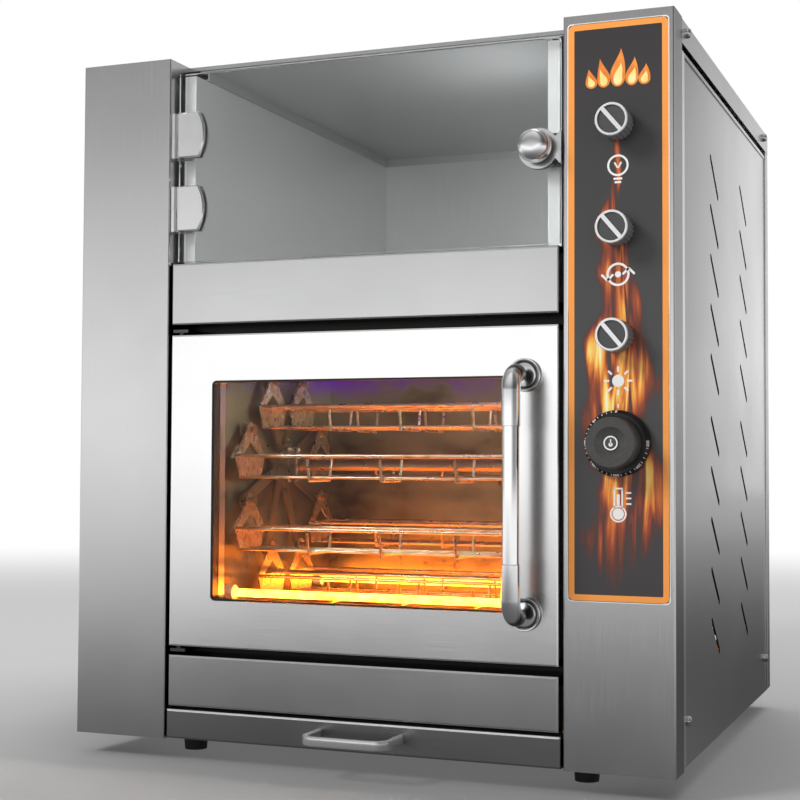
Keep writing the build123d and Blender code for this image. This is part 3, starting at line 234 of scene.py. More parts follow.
FLAMES_UP = 35      # foot of the small flames above the upper knob's axis
FIRE_HALF = 44.0    # half the width of the printed fire at its widest
GAP_DARK = 13       # painted shade on the sheet to either side of the edges over and under the oven door

# Shares, without a unit.
SIGN_SCALE = 1.9
DOME_SQUARE = 0.62  # below 1 the knob's dome is flatter in the middle and rounder at its edge
RECESS_TAPER = 0.45  # foot of a screw's cross recess against its mouth
BAR_METAL = 0.74    # pickled bar scatters part of the light
CLAMP_METAL = 0.86
LINER_METAL = 0.62  # the cabinet sheet is bright annealed and scatters more than a brushed one
INNER_SOOT = 0.5    # the muffle's inner faces get half the dark of its outer ones: thin sooting inside, painted shade outside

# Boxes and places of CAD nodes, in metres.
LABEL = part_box("control_label")
LABEL_X = (LABEL[0][0] + LABEL[1][0]) / 2
LABEL_FACE = LABEL[0][1]
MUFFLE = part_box("oven_liner")


def behind_face(depth):
    """Place so many millimetres behind the uprights' front face, in metres."""
    return COLUMN_FACE + mm(depth)


# ---------------------------------------- metals

SHEET = ("#C9C9CA", "#D6D6D7")  # brushed 304
MILL = ("#B4B4B4", "#C2C2C2")   # as rolled


def brushed_stainless(name, tone, roughness, lengthwise, depth=0.10, metal=1.0):
    """No. 4 brushed 304 sheet: long fine lines along one axis, and faint large smudges left by hands."""
    material, tree, shader = new_material(name, Metallic=metal)
    lines = noise(tree, *(GRAIN_L if axis == lengthwise else GRAIN_W for axis in "xyz"), Detail=2.0)
    fine = slope(tree, lines, low=roughness - 0.03, high=roughness + 0.04)
    smudged = slope(tree, noise(tree, SMUDGE, Detail=3.0), 0.35, 0.7, 0.0, 0.05)
    feed(shader, Roughness=maths(tree, "ADD", fine, smudged), Base_Color=mixed(tree, lines, *tone))
    relief(shader, lines, depth, 0.03)
    return material


def grimed(material):
    """Painted shade on the folds inside the gaps between the fronts: dark, up to the shelf."""
    tree = material.node_tree
    deep = band(tree, "Y", behind_face(3), behind_face(60), soft=3)
    inside = band(tree, "X", mm(-208.5), mm(208.5))
    below = band(tree, "Z", mm(0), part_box("shelf_front")[1][2] + mm(2))
    overlay(material, times(tree, times(tree, deep, inside), below), "#1C1B1A")
    return material


def shaded_returns(material):
    """Painted shade on the folded-back sides of the uprights: darker than their faces."""
    tree = material.node_tree
    side = slope(tree, off_middle(tree), mm(308.8), mm(309.4))
    overlay(material, times(tree, side, band(tree, "Y", behind_face(1.5), behind_face(60))), "#8F8F90")


def brighter_walls(material):
    """Painted light on the side walls of the cabinet: brighter than its back."""
    tree = material.node_tree
    overlay(material, slope(tree, off_middle(tree), mm(197.4), mm(198.2), high=0.85), "#FFFFFF")


def graded_front(material):
    """Painted shade on the upper front of a side panel: darker from the sheet's middle to its front edge."""
    tree = material.node_tree
    front = slope(tree, along(tree, "Y"), behind_face(380), behind_face(60), high=0.85)
    upper = slope(tree, along(tree, "Z"), mm(230), mm(430))
    overlay(material, times(tree, front, upper), "#98989A")


def hazed_left(material):
    """Painted shade on the cabinet ceiling: darker toward its left side."""
    tree = material.node_tree
    overlay(material, slope(tree, along(tree, "X"), mm(40), mm(-190), high=0.5), "#757576")


def shade_lips(material):
    """Painted shade on the narrow lips that hang from the cabinet ceiling along both walls: darker than the
    flat between them.
    """
    tree = material.node_tree
    overlay(material, slope(tree, off_middle(tree), mm(195.2), mm(195.6)), "#3E3E3F")


def heat_tinted_steel():
    """Muffle sheet after many bakings: straw and brown temper colours, violet where it is hottest, and
    baked-on sugar low down."""
    material, tree, shader = new_material("heat_tinted_stainless")
    patches = noise(tree, 90, 90, 60, Detail=5.0, Roughness=0.6)
    temper = tones(tree, patches, (0.30, "#63503A"), (0.46, "#A19B78"), (0.62, "#B6B28C"), (0.75, "#946640"))
    spots = tones(tree, noise(tree, 7, Detail=6.0), (0.60, 0.0), (0.68, 1.0))
    burnt = times(tree, spots, slope(tree, along(tree, "Z"), mm(260), mm(120)))
    feed(shader, Base_Color=mixed(tree, burnt, temper, "#1E120A"),
         Roughness=slope(tree, patches, low=0.26, high=0.5), Metallic=slope(tree, burnt, low=0.82, high=0.1))
    hottest = times(tree, band(tree, "Z", mm(372), mm(600), soft=26), slope(tree, patches, 0.42, 0.58))
    overlay(material, hottest, "#9A4CF0")
    return material


def sooted(material):
    """Thin sooting inside the muffle, and painted shade, black, on its outer faces toward the wool."""
    tree = material.node_tree
    soot = INNER_SOOT
    for place, edge in zip((off_middle(tree), along(tree, "Y"), along(tree, "Z")), MUFFLE[1]):
        soot = maths(tree, "MAXIMUM", slope(tree, place, edge - mm(0.8), edge - mm(0.4)), soot)
    overlay(material, soot, "#15120F")
    return material


def polished_steel(name, tone, roughness, metal=1.0):
    """Buffed stainless castings, bar and tube: a bright mirror with faint polishing waves."""
    material, tree, shader = new_material(name, Metallic=metal, Base_Color=tone)
    waves = noise(tree, 12, Detail=3.0)
    feed(shader, Roughness=slope(tree, waves, low=roughness * 0.7, high=roughness * 1.5))
    relief(shader, waves, 0.04, 0.2)
    return material


def unbuffed_back(material):
    """Painted shade on a handle: dark toward the door, and darker where its feet meet it."""
    tree = material.node_tree
    overlay(material, band(tree, "Y", behind_face(1 - STANDOFF), behind_face(-5.2), soft=5), "#4A4A4B")
    overlay(material, band(tree, "Y", behind_face(-3.2), behind_face(1)), "#363637")
    return material


def basket_wire():
    """Bright stainless wire, browned by the heat in patches along its length."""
    material, tree, shader = new_material("stainless_wire", Metallic=1.0)
    patches = noise(tree, 22, 9, 9, Detail=4.0)
    feed(shader, Base_Color=tones(tree, patches, (0.35, "#D6D0C4"), (0.55, "#C4B494"), (0.75, "#9A7E56")),
         Roughness=slope(tree, patches, low=0.15, high=0.45))
    return material


def turned_brass():
    """Turned bearing brass, dulled by heat."""
    material, tree, shader = new_material("turned_brass", Metallic=1.0, Roughness=0.4)
    feed(shader, Base_Color=tones(tree, noise(tree, 0.4, 6, 6), (0.3, "#7A5C28"), (0.7, "#A98443")))
    return material


# ---------------------------------------- plastics, rubber, ceramic, wool, glass

def grained(name, dark, light, roughness, grain, depth=0.15):
    """Moulded or cast surface with a fine even grain."""
    material, tree, shader = new_material(name)
    grains = noise(tree, grain, Detail=4.0)
    feed(shader, Base_Color=tones(tree, grains, (0.3, dark), (0.7, light)),
         Roughness=slope(tree, grains, low=roughness - 0.06, high=roughness + 0.06))
    relief(shader, grains, depth, 0.1)
    return material


def clear_glass(name, tint, ior):
    """Toughened float glass; lamps shine straight through it."""
    material, tree, shader = new_material(name, IOR=ior, Roughness=0.0, Transmission_Weight=1.0,
                                          Base_Color=tint)
    open_way = add(tree, "BsdfTransparent", {"Color": tint})
    shadow = add(tree, "LightPath").outputs["Is Shadow Ray"]
    feed(tree.nodes["Material Output"], Surface=add(tree, "MixShader", {0: shadow, 1: shader, 2: open_way}))
    return material


def glowing(name, tone, cooler, hotter, strength, grain):
    """Hot metal or a lit lens: bright, and mottled where it is cooler."""
    material, tree, shader = new_material(name, Roughness=0.5, Base_Color=tone, Emission_Strength=strength)
    feed(shader, Emission_Color=tones(tree, noise(tree, grain, Detail=3.0), (0.3, cooler), (0.65, hotter)))
    return material


def stronger_below(material, strength, height):
    """The oven's lamp, below a height in metres, is stronger than the one in the cabinet."""
    tree = material.node_tree
    power = tree.nodes["Principled BSDF"].inputs["Emission Strength"]
    feed(power.node, Emission_Strength=slope(tree, along(tree, "Z"), height - mm(1), height, strength,
                                             power.default_value))


def cool_upper(material):
    """The thermostat has the lower heaters on and the upper ones off, so only the lower sheaths glow."""
    tree = material.node_tree
    glow = tree.nodes["Principled BSDF"].inputs["Emission Color"]
    upper = slope(tree, along(tree, "Z"), mm(220), mm(300))
    feed(glow.node, Emission_Color=mixed(tree, upper, glow.links[0].from_socket, "#140300"))


# ---------------------------------------- printed label and foiled knobs

def printed_film():
    """Polycarbonate printed from behind: a charcoal field, and fire rising from its lower edge in wisps."""
    material, tree, shader = new_material("printed_polycarbonate_film", Roughness=0.36)
    level = slope(tree, along(tree, "Z"), LABEL[0][2], LABEL[1][2])
    wisps = noise(tree, 9, 50, 110, Detail=3.0, Distortion=0.9)
    curls = noise(tree, 60, 50, 70, Detail=1.0)
    reach = tones(tree, level, (0.02, 0.40), (0.14, 0.85), (0.28, 0.95), (0.46, 0.55), (0.64, 0.30),
                  (0.80, 0.16), (0.86, 0.06))
    power = tones(tree, level, (0.01, 0.10), (0.12, 0.48), (0.26, 1.0), (0.48, 1.0), (0.62, 0.74),
                  (0.78, 0.50), (0.86, 0.0))
    centred = maths(tree, "SUBTRACT", along(tree, "X"), LABEL_X)
    sway = slope(tree, curls, 0.3, 0.7, mm(-14), mm(14))
    out = maths(tree, "ABSOLUTE", maths(tree, "ADD", centred, sway))
    within = maths(tree, "DIVIDE", maths(tree, "DIVIDE", out, mm(FIRE_HALF)), reach)
    body = slope(tree, within, 0.35, 1.05, 1.0, 0.0, interpolation_type="SMOOTHSTEP")
    heat = times(tree, times(tree, body, power), slope(tree, wisps, 0.30, 0.66))
    fire = tones(tree, heat, (0.05, "#3F3B3C"), (0.18, "#5A342C"), (0.34, "#9A4526"), (0.50, "#DC7B32"),
                 (0.66, "#F9B64E"), (0.80, "#FFE27E"), (0.92, "#FFF7CE"))
    field = tones(tree, level, (0.0, "#3C393A"), (0.45, "#444444"), (1.0, "#343132"))
    feed(shader, Base_Color=mixed(tree, slope(tree, heat, 0.03, 0.16), field, fire))
    relief(shader, noise(tree, 0.8, Detail=2.0), 0.04, 0.05)
    return material


def foiled_knob():
    """Metallised grey ABS: silver foil on the raised rim and pointer, a satin face, and painted shade, black,
    on the walls of the relief.
    """
    material, tree, shader = new_material("foiled_abs")
    front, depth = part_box("switch_knob_1")[0][1], along(tree, "Y")

    def below_rim(start, end, low=1.0, high=0.0):
        return slope(tree, depth, front + mm(start * KNOB_RELIEF), front + mm(end * KNOB_RELIEF), low, high)

    raised, face, floor = below_rim(0.55, 0.65), below_rim(1.1, 1.2), below_rim(0.90, 0.99, 0.0, 1.0)
    grain = noise(tree, 0.7, Detail=3.0)
    body = tones(tree, grain, (0.3, "#6A6A6C"), (0.7, "#828284"))
    satin = tones(tree, grain, (0.3, "#434344"), (0.7, "#4E4E4F"))
    foil = tones(tree, grain, (0.3, "#DADADB"), (0.7, "#F2F2F3"))
    feed(shader, Base_Color=mixed(tree, raised, mixed(tree, face, body, satin), foil),
         Metallic=slope(tree, raised, high=0.35), Roughness=slope(tree, raised, low=0.42, high=0.26))
    # Painted shade: black on the walls between the raised rim and pointer and the face.
    recess = times(tree, maths(tree, "SUBTRACT", 1.0, raised), maths(tree, "SUBTRACT", 1.0, floor))
    overlay(material, recess, "#161616")
    relief(shader, grain, 0.08, 0.05)
    return material


# ---------------------------------------- studio

WHITE = (1, 1, 1, 1)
# Grey glow painted on the floor under the oven: painted light, not a lamp.
FLOOR_BOUNCE = (0.2, 0.2, 0.2, 1)
LAMP_AIM = Vector((0, 0, 0.35))


def reach_from(tree, vector_type="POINT", **frame_of):
    """Distance from the middle of a shifted, turned and stretched frame."""
    moved = add(tree, "Mapping", {"Vector": object_place(tree), **frame_of}, vector_type=vector_type)
    return add(tree, "VectorMath", {0: moved}, operation="LENGTH").outputs["Value"]


def make_floor():
    """Pale floor that runs out into white, with painted shade near the oven, painted light under it, and a
    darker painted reflection for the steel.
    """
    bpy.ops.object.select_all(action="DESELECT")
    bpy.ops.mesh.primitive_circle_add(vertices=96, radius=14, fill_type="NGON", location=(0, 0, 0))
    floor = bpy.context.object
    floor.name = "floor"
    material, tree, shader = new_material("painted_floor", Roughness=0.9, Specular_IOR_Level=0.3)
    reach = reach_from(tree, Location=(-0.10, 0.75, 0))
    # Painted shade: the floor's paint is darker near the oven.
    feed(shader, Base_Color=tones(tree, slope(tree, reach, 0.2, 2.2), (0.0, "#8C8C8C"), (0.35, "#B0B0B0"),
                                  (1.0, "#C6C6C6")))
    white = add(tree, "Emission", {"Color": WHITE, "Strength": 1.0})
    fade = slope(tree, reach, 2.0, 4.6, interpolation_type="SMOOTHSTEP")
    seen = add(tree, "MixShader", {0: fade, 1: shader, 2: white})
    # Painted light: a grey glow on the floor under the oven's body.
    under = reach_from(tree, "TEXTURE", Scale=(0.36, 0.34, 1))
    lift = slope(tree, under, 0.75, 1.45, 0.62, 0.0, interpolation_type="SMOOTHSTEP")
    bounce = add(tree, "Emission", {"Color": FLOOR_BOUNCE, "Strength": 1.0})
    lifted = add(tree, "MixShader", {0: lift, 1: seen, 2: bounce})
    # Painted reflection: glossy rays meet an emission that is darker near the oven.
    away = reach_from(tree, "TEXTURE", Location=(0.15, 0.4, 0), Rotation=(0, 0, radians(-14)),
                      Scale=(0.83, 2.0, 1))
    level = tones(tree, slope(tree, away, 0.0, 4.0), (0.06, 0.08), (0.16, 0.16), (0.30, 0.34), (0.6, 0.8),
                  (1.0, 1.0))
    rearward = slope(tree, along(tree, "Y"), 0.5, 4.0, 1.0, 0.5)
    mirrored = add(tree, "Emission", {"Color": level, "Strength": rearward})
    glossy = add(tree, "LightPath").outputs["Is Glossy Ray"]
    feed(tree.nodes["Material Output"], Surface=add(tree, "MixShader", {0: glossy, 1: lifted, 2: mirrored}))
    floor.data.materials.append(material)


def make_world():
    """Plain white to the eye. The steel mirrors a low lit band, panes behind the eye and a bright wall."""
    world = bpy.data.worlds.new("studio")
    bpy.context.scene.world = world
    world.use_nodes = True
    tree = world.node_tree
    tree.nodes.clear()
    split = add(tree, "SeparateXYZ", {0: add(tree, "TexCoord").outputs["Generated"]})
    path = add(tree, "LightPath")
    height = slope(tree, split.outputs["Z"], -0.2, 1.0)
    front = tones(tree, height, (0.00, 0.9), (0.167, 1.2), (0.24, 1.2), (0.30, 0.70), (0.36, 0.32),
                  (0.45, 0.28), (0.70, 0.55), (1.0, 0.8))
    rear = tones(tree, height, (0.00, 0.5), (0.167, 0.62), (0.22, 0.82), (0.34, 0.72), (0.42, 0.45),
                 (0.7, 0.55), (1.0, 0.8))
    behind = slope(tree, split.outputs["Y"], -0.1, 0.3)
    sky = mixed(tree, behind, front, rear)
    unbounced = maths(tree, "LESS_THAN", path.outputs["Glossy Depth"], 0.5)
    through = times(tree, path.outputs["Is Transmission Ray"], unbounced)
    direct = maths(tree, "MAXIMUM", path.outputs["Is Camera Ray"], through)
    bearing = maths(tree, "ARCTAN2", split.outputs["X"], times(tree, split.outputs["Y"], -1.0))

    def between(start, end, low=0.0, high=1.0):
        return slope(tree, bearing, radians(start), radians(end), low, high)

    window = times(tree, between(-95, -55), between(50, 15))
    lit = times(tree, window, between(-34, -24, 1.0, 1.12))
    room = maths(tree, "MAXIMUM", between(167.5, 173, 0.25, 1.9), between(164, 154, 0.25, 0.95))
    sideways = maths(tree, "GREATER_THAN", split.outputs["X"], 0.0)
    backdrop = add(tree, "Mix", {0: sideways, 2: 1.0, 3: room}, data_type="FLOAT")
    panes = maths(tree, "MAXIMUM", lit, times(tree, behind, backdrop))
    dimmed = add(tree, "MapRange", {"Value": panes, "To Min": 0.22}, clamp=False)
    level = add(tree, "Mix", {0: path.outputs["Is Glossy Ray"], 2: 1.0, 3: dimmed}, data_type="FLOAT")
    soft = add(tree, "Background", {"Color": sky, "Strength": level})
    plain = add(tree, "Background", {"Color": WHITE, "Strength": 1.0})
    out = add(tree, "OutputWorld", {0: add(tree, "MixShader", {0: direct, 1: soft, 2: plain})})
    out.is_active_output = True


def place_lamps():
    """Soft light from above and behind, and a smaller one from the front left."""
    lamps = (("key_lamp", (0.5, 0.9, 2.6), 1.6, 32), ("fill_lamp", (-1.4, -2.1, 1.95), 0.8, 62))
    for name, place, size, power in lamps:
        lamp = bpy.data.objects.new(name, bpy.data.lights.new(name, "AREA"))
        bpy.context.scene.collection.objects.link(lamp)
        lamp.location = place
        lamp.rotation_euler = (LAMP_AIM - lamp.location).to_track_quat("-Z", "Y").to_euler()
        lamp.data.size = size
        lamp.data.energy = power
        lamp.visible_glossy = False


# ---------------------------------------- modelling helpers

def clear_selection():
    if bpy.context.object and bpy.context.object.mode != "OBJECT":
        bpy.ops.object.mode_set(mode="OBJECT")
    bpy.ops.object.select_all(action="DESELECT")


def edit_mode():
    bpy.ops.object.mode_set(mode="EDIT")


def object_mode():
    bpy.ops.object.mode_set(mode="OBJECT")


def select_all():
    bpy.ops.mesh.select_all(action="SELECT")


def seat():
    """Moves the active object's place, turn and size into its mesh."""
    bpy.ops.object.transform_apply(location=True, rotation=True, scale=True)


def start_piece(add_primitive, scale=None, **settings):
    """Adds a primitive, seated, as the start of a piece."""
    clear_selection()
    add_primitive(**settings)
    if scale is not None:
        bpy.context.object.scale = scale
    seat()
    return bpy.context.object


def finish_piece(name, body, material, smooth=30):
    """Names the active object, seats it and lets it ride on a body."""
    piece = bpy.context.object
    clear_selection()
    piece.select_set(True)
    bpy.context.view_layer.objects.active = piece
    seat()
    edit_mode()
    select_all()
    bpy.ops.mesh.remove_doubles(threshold=1e-6)
    bpy.ops.mesh.normals_make_consistent(inside=False)
    object_mode()
    bpy.ops.object.shade_smooth_by_angle(angle=radians(smooth))
    piece.name = name
    piece.data.name = name
    piece.data.materials.clear()
    piece.data.materials.append(material)
    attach(piece, body)
    return piece


def apply_modifier(kind, **settings):
    """Gives the active object a modifier and applies it."""
    piece = bpy.context.object
    modifier = piece.modifiers.new(kind.lower(), kind)
    for name, value in settings.items():
        setattr(modifier, name, value)
    bpy.ops.object.modifier_apply(modifier=modifier.name)


def bevel_piece(width, segments=2, angle=35):
    """Rounds the active object's sharp edges."""
    apply_modifier("BEVEL", width=width, segments=segments, limit_method="ANGLE", angle_limit=radians(angle))


def join_pieces(pieces):
    """Joins pieces into the first of them."""
    clear_selection()
    for piece in pieces:
        piece.select_set(True)
    bpy.context.view_layer.objects.active = pieces[0]
    bpy.ops.object.join()
    return pieces[0]


def in_edit(*steps):
    """Runs mesh operators on the whole active object."""
    edit_mode()
    bpy.ops.mesh.select_mode(type="FACE")
    select_all()
    for step in steps:
        step()
    object_mode()


def select_where(test, kind="FACE"):
    """Selects the active object's faces or vertices that pass a test on their place."""
    mesh = bpy.context.object.data
    bpy.ops.mesh.select_mode(type=kind)
    bpy.ops.mesh.select_all(action="DESELECT")
    object_mode()
    for part in (mesh.polygons if kind == "FACE" else mesh.vertices):
        part.select = test(part)
    edit_mode()


def extrude(*step):
    bpy.ops.mesh.extrude_region_move(TRANSFORM_OT_translate={"value": step})


def middle_of(node):
    """Middle of a CAD node's box."""
    low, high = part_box(node)
    return Vector([(a + b) / 2 for a, b in zip(low, high)])


# ---------------------------------------- print and marks
# They are drawn flat in the XY plane, in millimetres from their own middle, and then stood up.

def raise_ink():
    extrude(0, 0, mm(INK))


def fatten_ink():
    bpy.ops.mesh.extrude_region_shrink_fatten(TRANSFORM_OT_shrink_fatten={"value": mm(INK)})


def hollow(width):
    """Steps that leave only the rim of a face."""
    return (lambda: bpy.ops.mesh.inset(thickness=mm(width)), lambda: bpy.ops.mesh.delete(type="FACE"),
            select_all)


def rounded(corner, segments):
    """Steps that round a face's corners."""
    return lambda: bpy.ops.mesh.bevel(offset=mm(corner), segments=segments, affect="VERTICES"), select_all


def ink_round(radius, y, vertices, *steps):
    start_piece(bpy.ops.mesh.primitive_circle_add, vertices=vertices, radius=mm(radius), fill_type="NGON",
                location=mm(0, y, 0))
    in_edit(*steps, raise_ink)
    return bpy.context.object


def ink_ring(r_out, r_in, y=0):
    return ink_round(r_out, y, 64, *hollow(r_out - r_in))


def ink_disc(r, y=0):
    return ink_round(r, y, 32)


def ink_bar(length, width, x=0, y=0, turn=0.0, corner=0.2):
    """Bar along X, turned by an angle in degrees, with rounded corners."""
    start_piece(bpy.ops.mesh.primitive_plane_add, scale=mm(length, width, 1000), size=1, location=mm(x, y, 0),
                rotation=(0, 0, radians(turn)))
    in_edit(*rounded(corner, 4), raise_ink)
    return bpy.context.object


def stand_up(piece, x, face, z, scale=1.0):
    """Turns a flat drawing to face the front and places it on a face."""
    piece.scale = (scale, scale, 1)
    piece.rotation_euler = (pi / 2, 0, 0)
    piece.location = (x, face, z)


def label_frame(name, inset, width, corner, material):
    """Band of ink that follows the label's outline."""
    w, h = (LABEL[1][axis] - LABEL[0][axis] - 2 * mm(inset) for axis in (0, 2))
    start_piece(bpy.ops.mesh.primitive_plane_add, scale=(w, h, 1), size=1)
    in_edit(*rounded(corner, 8), *hollow(width), raise_ink)
    stand_up(bpy.context.object, LABEL_X, LABEL_FACE, (LABEL[0][2] + LABEL[1][2]) / 2)
    finish_piece(name, "housing", material)


def print_sign(name, pieces, control, drop=SIGN_DROP):
    """Joins a sign's strokes and prints it in white under its control."""
    stand_up(join_pieces(pieces), LABEL_X, LABEL_FACE, middle_of(control).z - mm(drop), SIGN_SCALE)
    finish_piece(name, "housing", white_ink)


def print_signs():
    """White signs under the controls: a bulb, a turning arrow, a shining lamp and a thermometer."""
    print_sign("bulb_sign", [
        ink_ring(5.2, 4.2, y=1.5), ink_bar(4.2, 1.0, y=-4.9), ink_bar(3.2, 1.0, y=-6.6),
        ink_bar(3.2, 0.8, -0.9, 1.6, -60), ink_bar(3.2, 0.8, 0.9, 1.6, 60)], "switch_knob_1")

    arrows = [ink_bar(4.2, 1.1, way * x, way * 1.4, turn)
              for way in (1, -1) for x, turn in ((3.75, 45), (6.55, 135))]
    print_sign("turning_sign", [ink_ring(5.6, 4.5), *arrows, ink_disc(1.5)], "switch_knob_2")

    rays = [ink_bar(2.6, 1.0, 5.6 * cos(radians(turn)), 5.6 * sin(radians(turn)), turn)
            for turn in range(0, 360, 45)]
    print_sign("lamp_sign", [ink_disc(2.9), *rays], "switch_knob_3")

    tube = [ink_bar(0.8, 9.0, -1.9, 3.1), ink_bar(0.8, 9.0, 1.9, 3.1), ink_bar(1.4, 5.2, 0, 2.3),
            ink_bar(4.6, 0.8, 0, 7.6)]
    scale = [ink_bar(2.6, 0.8, 5.0, y) for y in (0.4, 3.0, 5.6)]
    print_sign("thermometer_sign", [ink_disc(2.7, y=-4.4), ink_ring(4.0, 3.2, y=-4.4), *tube, *scale],
               "thermostat_dial", DIAL_SIGN_DROP)


def ink_flame(x, width, height, lean, base):
    """Drop with a leaning tip, from four Bezier points."""
    clear_selection()
    bpy.ops.curve.primitive_bezier_circle_add(radius=1)
    drop = bpy.context.object
    drop.data.dimensions = "2D"
    drop.data.fill_mode = "BOTH"
    drop.data.extrude = mm(INK) / 2
    drop.data.resolution_u = 14
    w, h, tip = mm(width) / 2, mm(height), mm(lean)
    left, top, right, foot = drop.data.splines[0].bezier_points
    shape = ((left, (-w, 0.30 * h), (-w, 0.12 * h), (-1.02 * w, 0.55 * h)),
             (top, (tip, h), (tip - 0.1 * w, 0.80 * h), (tip + 0.55 * w, 0.70 * h)),
             (right, (w, 0.30 * h), (w, 0.50 * h), (w, 0.12 * h)),
             (foot, (0, 0), (0.55 * w, 0), (-0.55 * w, 0)))
    for point, middle, near, far in shape:
        point.handle_left_type = point.handle_right_type = "FREE"
        point.co, point.handle_left, point.handle_right = (
            (across, mm(base) + up, 0) for across, up in (middle, near, far))
    bpy.ops.object.convert(target="MESH")
    bpy.context.object.location.x = mm(x)
    seat()
    return bpy.context.object


def print_flames():
    """Five plain tongues of fire at the top of the label, each an orange drop round a yellow one."""
    foot = middle_of("switch_knob_1").z + mm(FLAMES_UP)
    tongues = ((0, 14, 35, 3.0), (-13, 12, 27, -3.5), (13, 12, 26, 2.5), (-24.5, 11, 18, -2.5),
               (24.5, 11, 19, 1.5))
    layers = (("orange", flame_orange, 1.0, 0.0, 0.0), ("yellow", flame_yellow, 0.58, 1.5, 0.06))
    for layer, material, share, base, lift in layers:
        drops = [ink_flame(x, width * share, height * share, lean, base)
                 for x, width, height, lean in tongues]
        stand_up(join_pieces(drops), LABEL_X, LABEL_FACE - mm(INK / 2 + lift), foot)
        finish_piece(f"flame_sign_{layer}", "housing", material)


def dial_mark(turn, number=None):
    """Numeral or tick on the bevel of the dial's skirt."""
    clear_selection()
    radius, a = DIAL_SKIRT_D / 2 - SKIRT_BEVEL / 2, radians(90 + turn)
    place = mm(radius * cos(a), radius * sin(a), -SKIRT_BEVEL / 2)
    tilt = (radians(-45), 0, radians(turn))
    if number is None:
        bpy.ops.mesh.primitive_plane_add(size=1, location=place, rotation=tilt)
        bpy.context.object.scale = mm(0.5, 2.4, 1000)
        bpy.ops.object.transform_apply(location=False, rotation=False, scale=True)
        in_edit(fatten_ink)
    else:
        bpy.ops.object.text_add(location=place, rotation=tilt)
        text = bpy.context.object.data
        text.body = str(number)
        text.size = mm(3.9)
        text.align_x = text.align_y = "CENTER"
        text.extrude = mm(INK)
        text.offset = mm(0.05)
        bpy.ops.object.convert(target="MESH")
    seat()
    return bpy.context.object


def print_dial_marks():
    """Ticks and numerals on the dial's skirt, a sign in a ring on its eye, and the index mark above it."""
    middle = middle_of("thermostat_dial")
    marks = [dial_mark(9.0 * step, None if step % 5 else 10 * step) for step in range(31)]
    stand_up(join_pieces(marks), middle.x, LABEL_FACE - mm(KNOB_GAP + DIAL_SKIRT_H) - mm(0.05), middle.z)
    finish_piece("dial_numerals", "temperature_dial", white_ink)

    eye = join_pieces([ink_ring(6.4, 5.2), ink_disc(1.9, y=-1.2), ink_bar(1.1, 5.0, y=1.0)])
    stand_up(eye, middle.x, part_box("thermostat_dial")[0][1] + mm(DISH_DEEP / 2), middle.z)
    finish_piece("dial_eye_ring", "temperature_dial", white_ink)

    stand_up(ink_bar(3.6, 1.3, turn=90), LABEL_X, LABEL_FACE, middle.z + mm(DIAL_SKIRT_D / 2 + 4))
    finish_piece("dial_index", "housing", white_ink)


# ---------------------------------------- handles, lips and screws

def make_elbow(x, z, way):
    """Cast sleeve that leaves the door, turns through a quarter circle and runs along the tube."""
    run = STANDOFF - ELBOW_R
    start_piece(bpy.ops.mesh.primitive_circle_add, vertices=48, radius=mm(ELBOW_D / 2),
                rotation=(pi / 2, 0, 0), location=(x, behind_face(-2), z))
    edit_mode()
    select_all()
    extrude(0, mm(2 - run), 0)
    bpy.ops.mesh.spin(steps=18, angle=radians(90 * way), axis=(1, 0, 0),
                      center=(x, behind_face(-run), z + mm(way * ELBOW_R)))
    extrude(0, 0, mm(way * (ELBOW_L - ELBOW_R)))
    bpy.ops.mesh.edge_face_add()
    bpy.ops.mesh.inset(thickness=mm(0.3), depth=mm(0.3))
    object_mode()
    return bpy.context.object


def make_rosette(x, z):
    """Round foot with a rolled rim, a groove and a low boss round the sleeve."""
    start_piece(bpy.ops.mesh.primitive_cylinder_add, vertices=72, radius=mm(ROSETTE_D / 2),
                depth=mm(ROSETTE_T), rotation=(pi / 2, 0, 0), location=(x, behind_face(-ROSETTE_T / 2), z))
    edit_mode()
    select_where(lambda face: face.normal.y < -0.9)
    for width, depth in ((1.6, 0.0), (0.7, -1.6), (1.7, -0.2), (0.6, 1.2)):
        bpy.ops.mesh.inset(thickness=mm(width), depth=mm(depth))
    object_mode()
    bevel_piece(mm(0.55), segments=3, angle=30)
    return bpy.context.object


def make_door_handle():
    """Straight tube between two cast elbows, each on a round foot."""
    low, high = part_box("handle_tube")
    middle = middle_of("handle_tube")
    castings = []
    for z, way in ((low[2] - mm(ELBOW_L), 1), (high[2] + mm(ELBOW_L), -1)):
        castings += [make_elbow(middle.x, z, way), make_rosette(middle.x, z)]
    join_pieces(castings)
    brackets = finish_piece("door_handle_castings", "oven_door", casting_steel, smooth=14)
    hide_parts("handle_brackets")

    start_piece(bpy.ops.mesh.primitive_cylinder_add, vertices=64, radius=mm(TUBE_D / 2),
                depth=high[2] - low[2], location=(middle.x, behind_face(-STANDOFF), middle.z))
    bevel_piece(mm(0.6))
    tube = finish_piece("door_handle_tube", "oven_door", handle_steel, smooth=15)
    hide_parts("handle_tube")


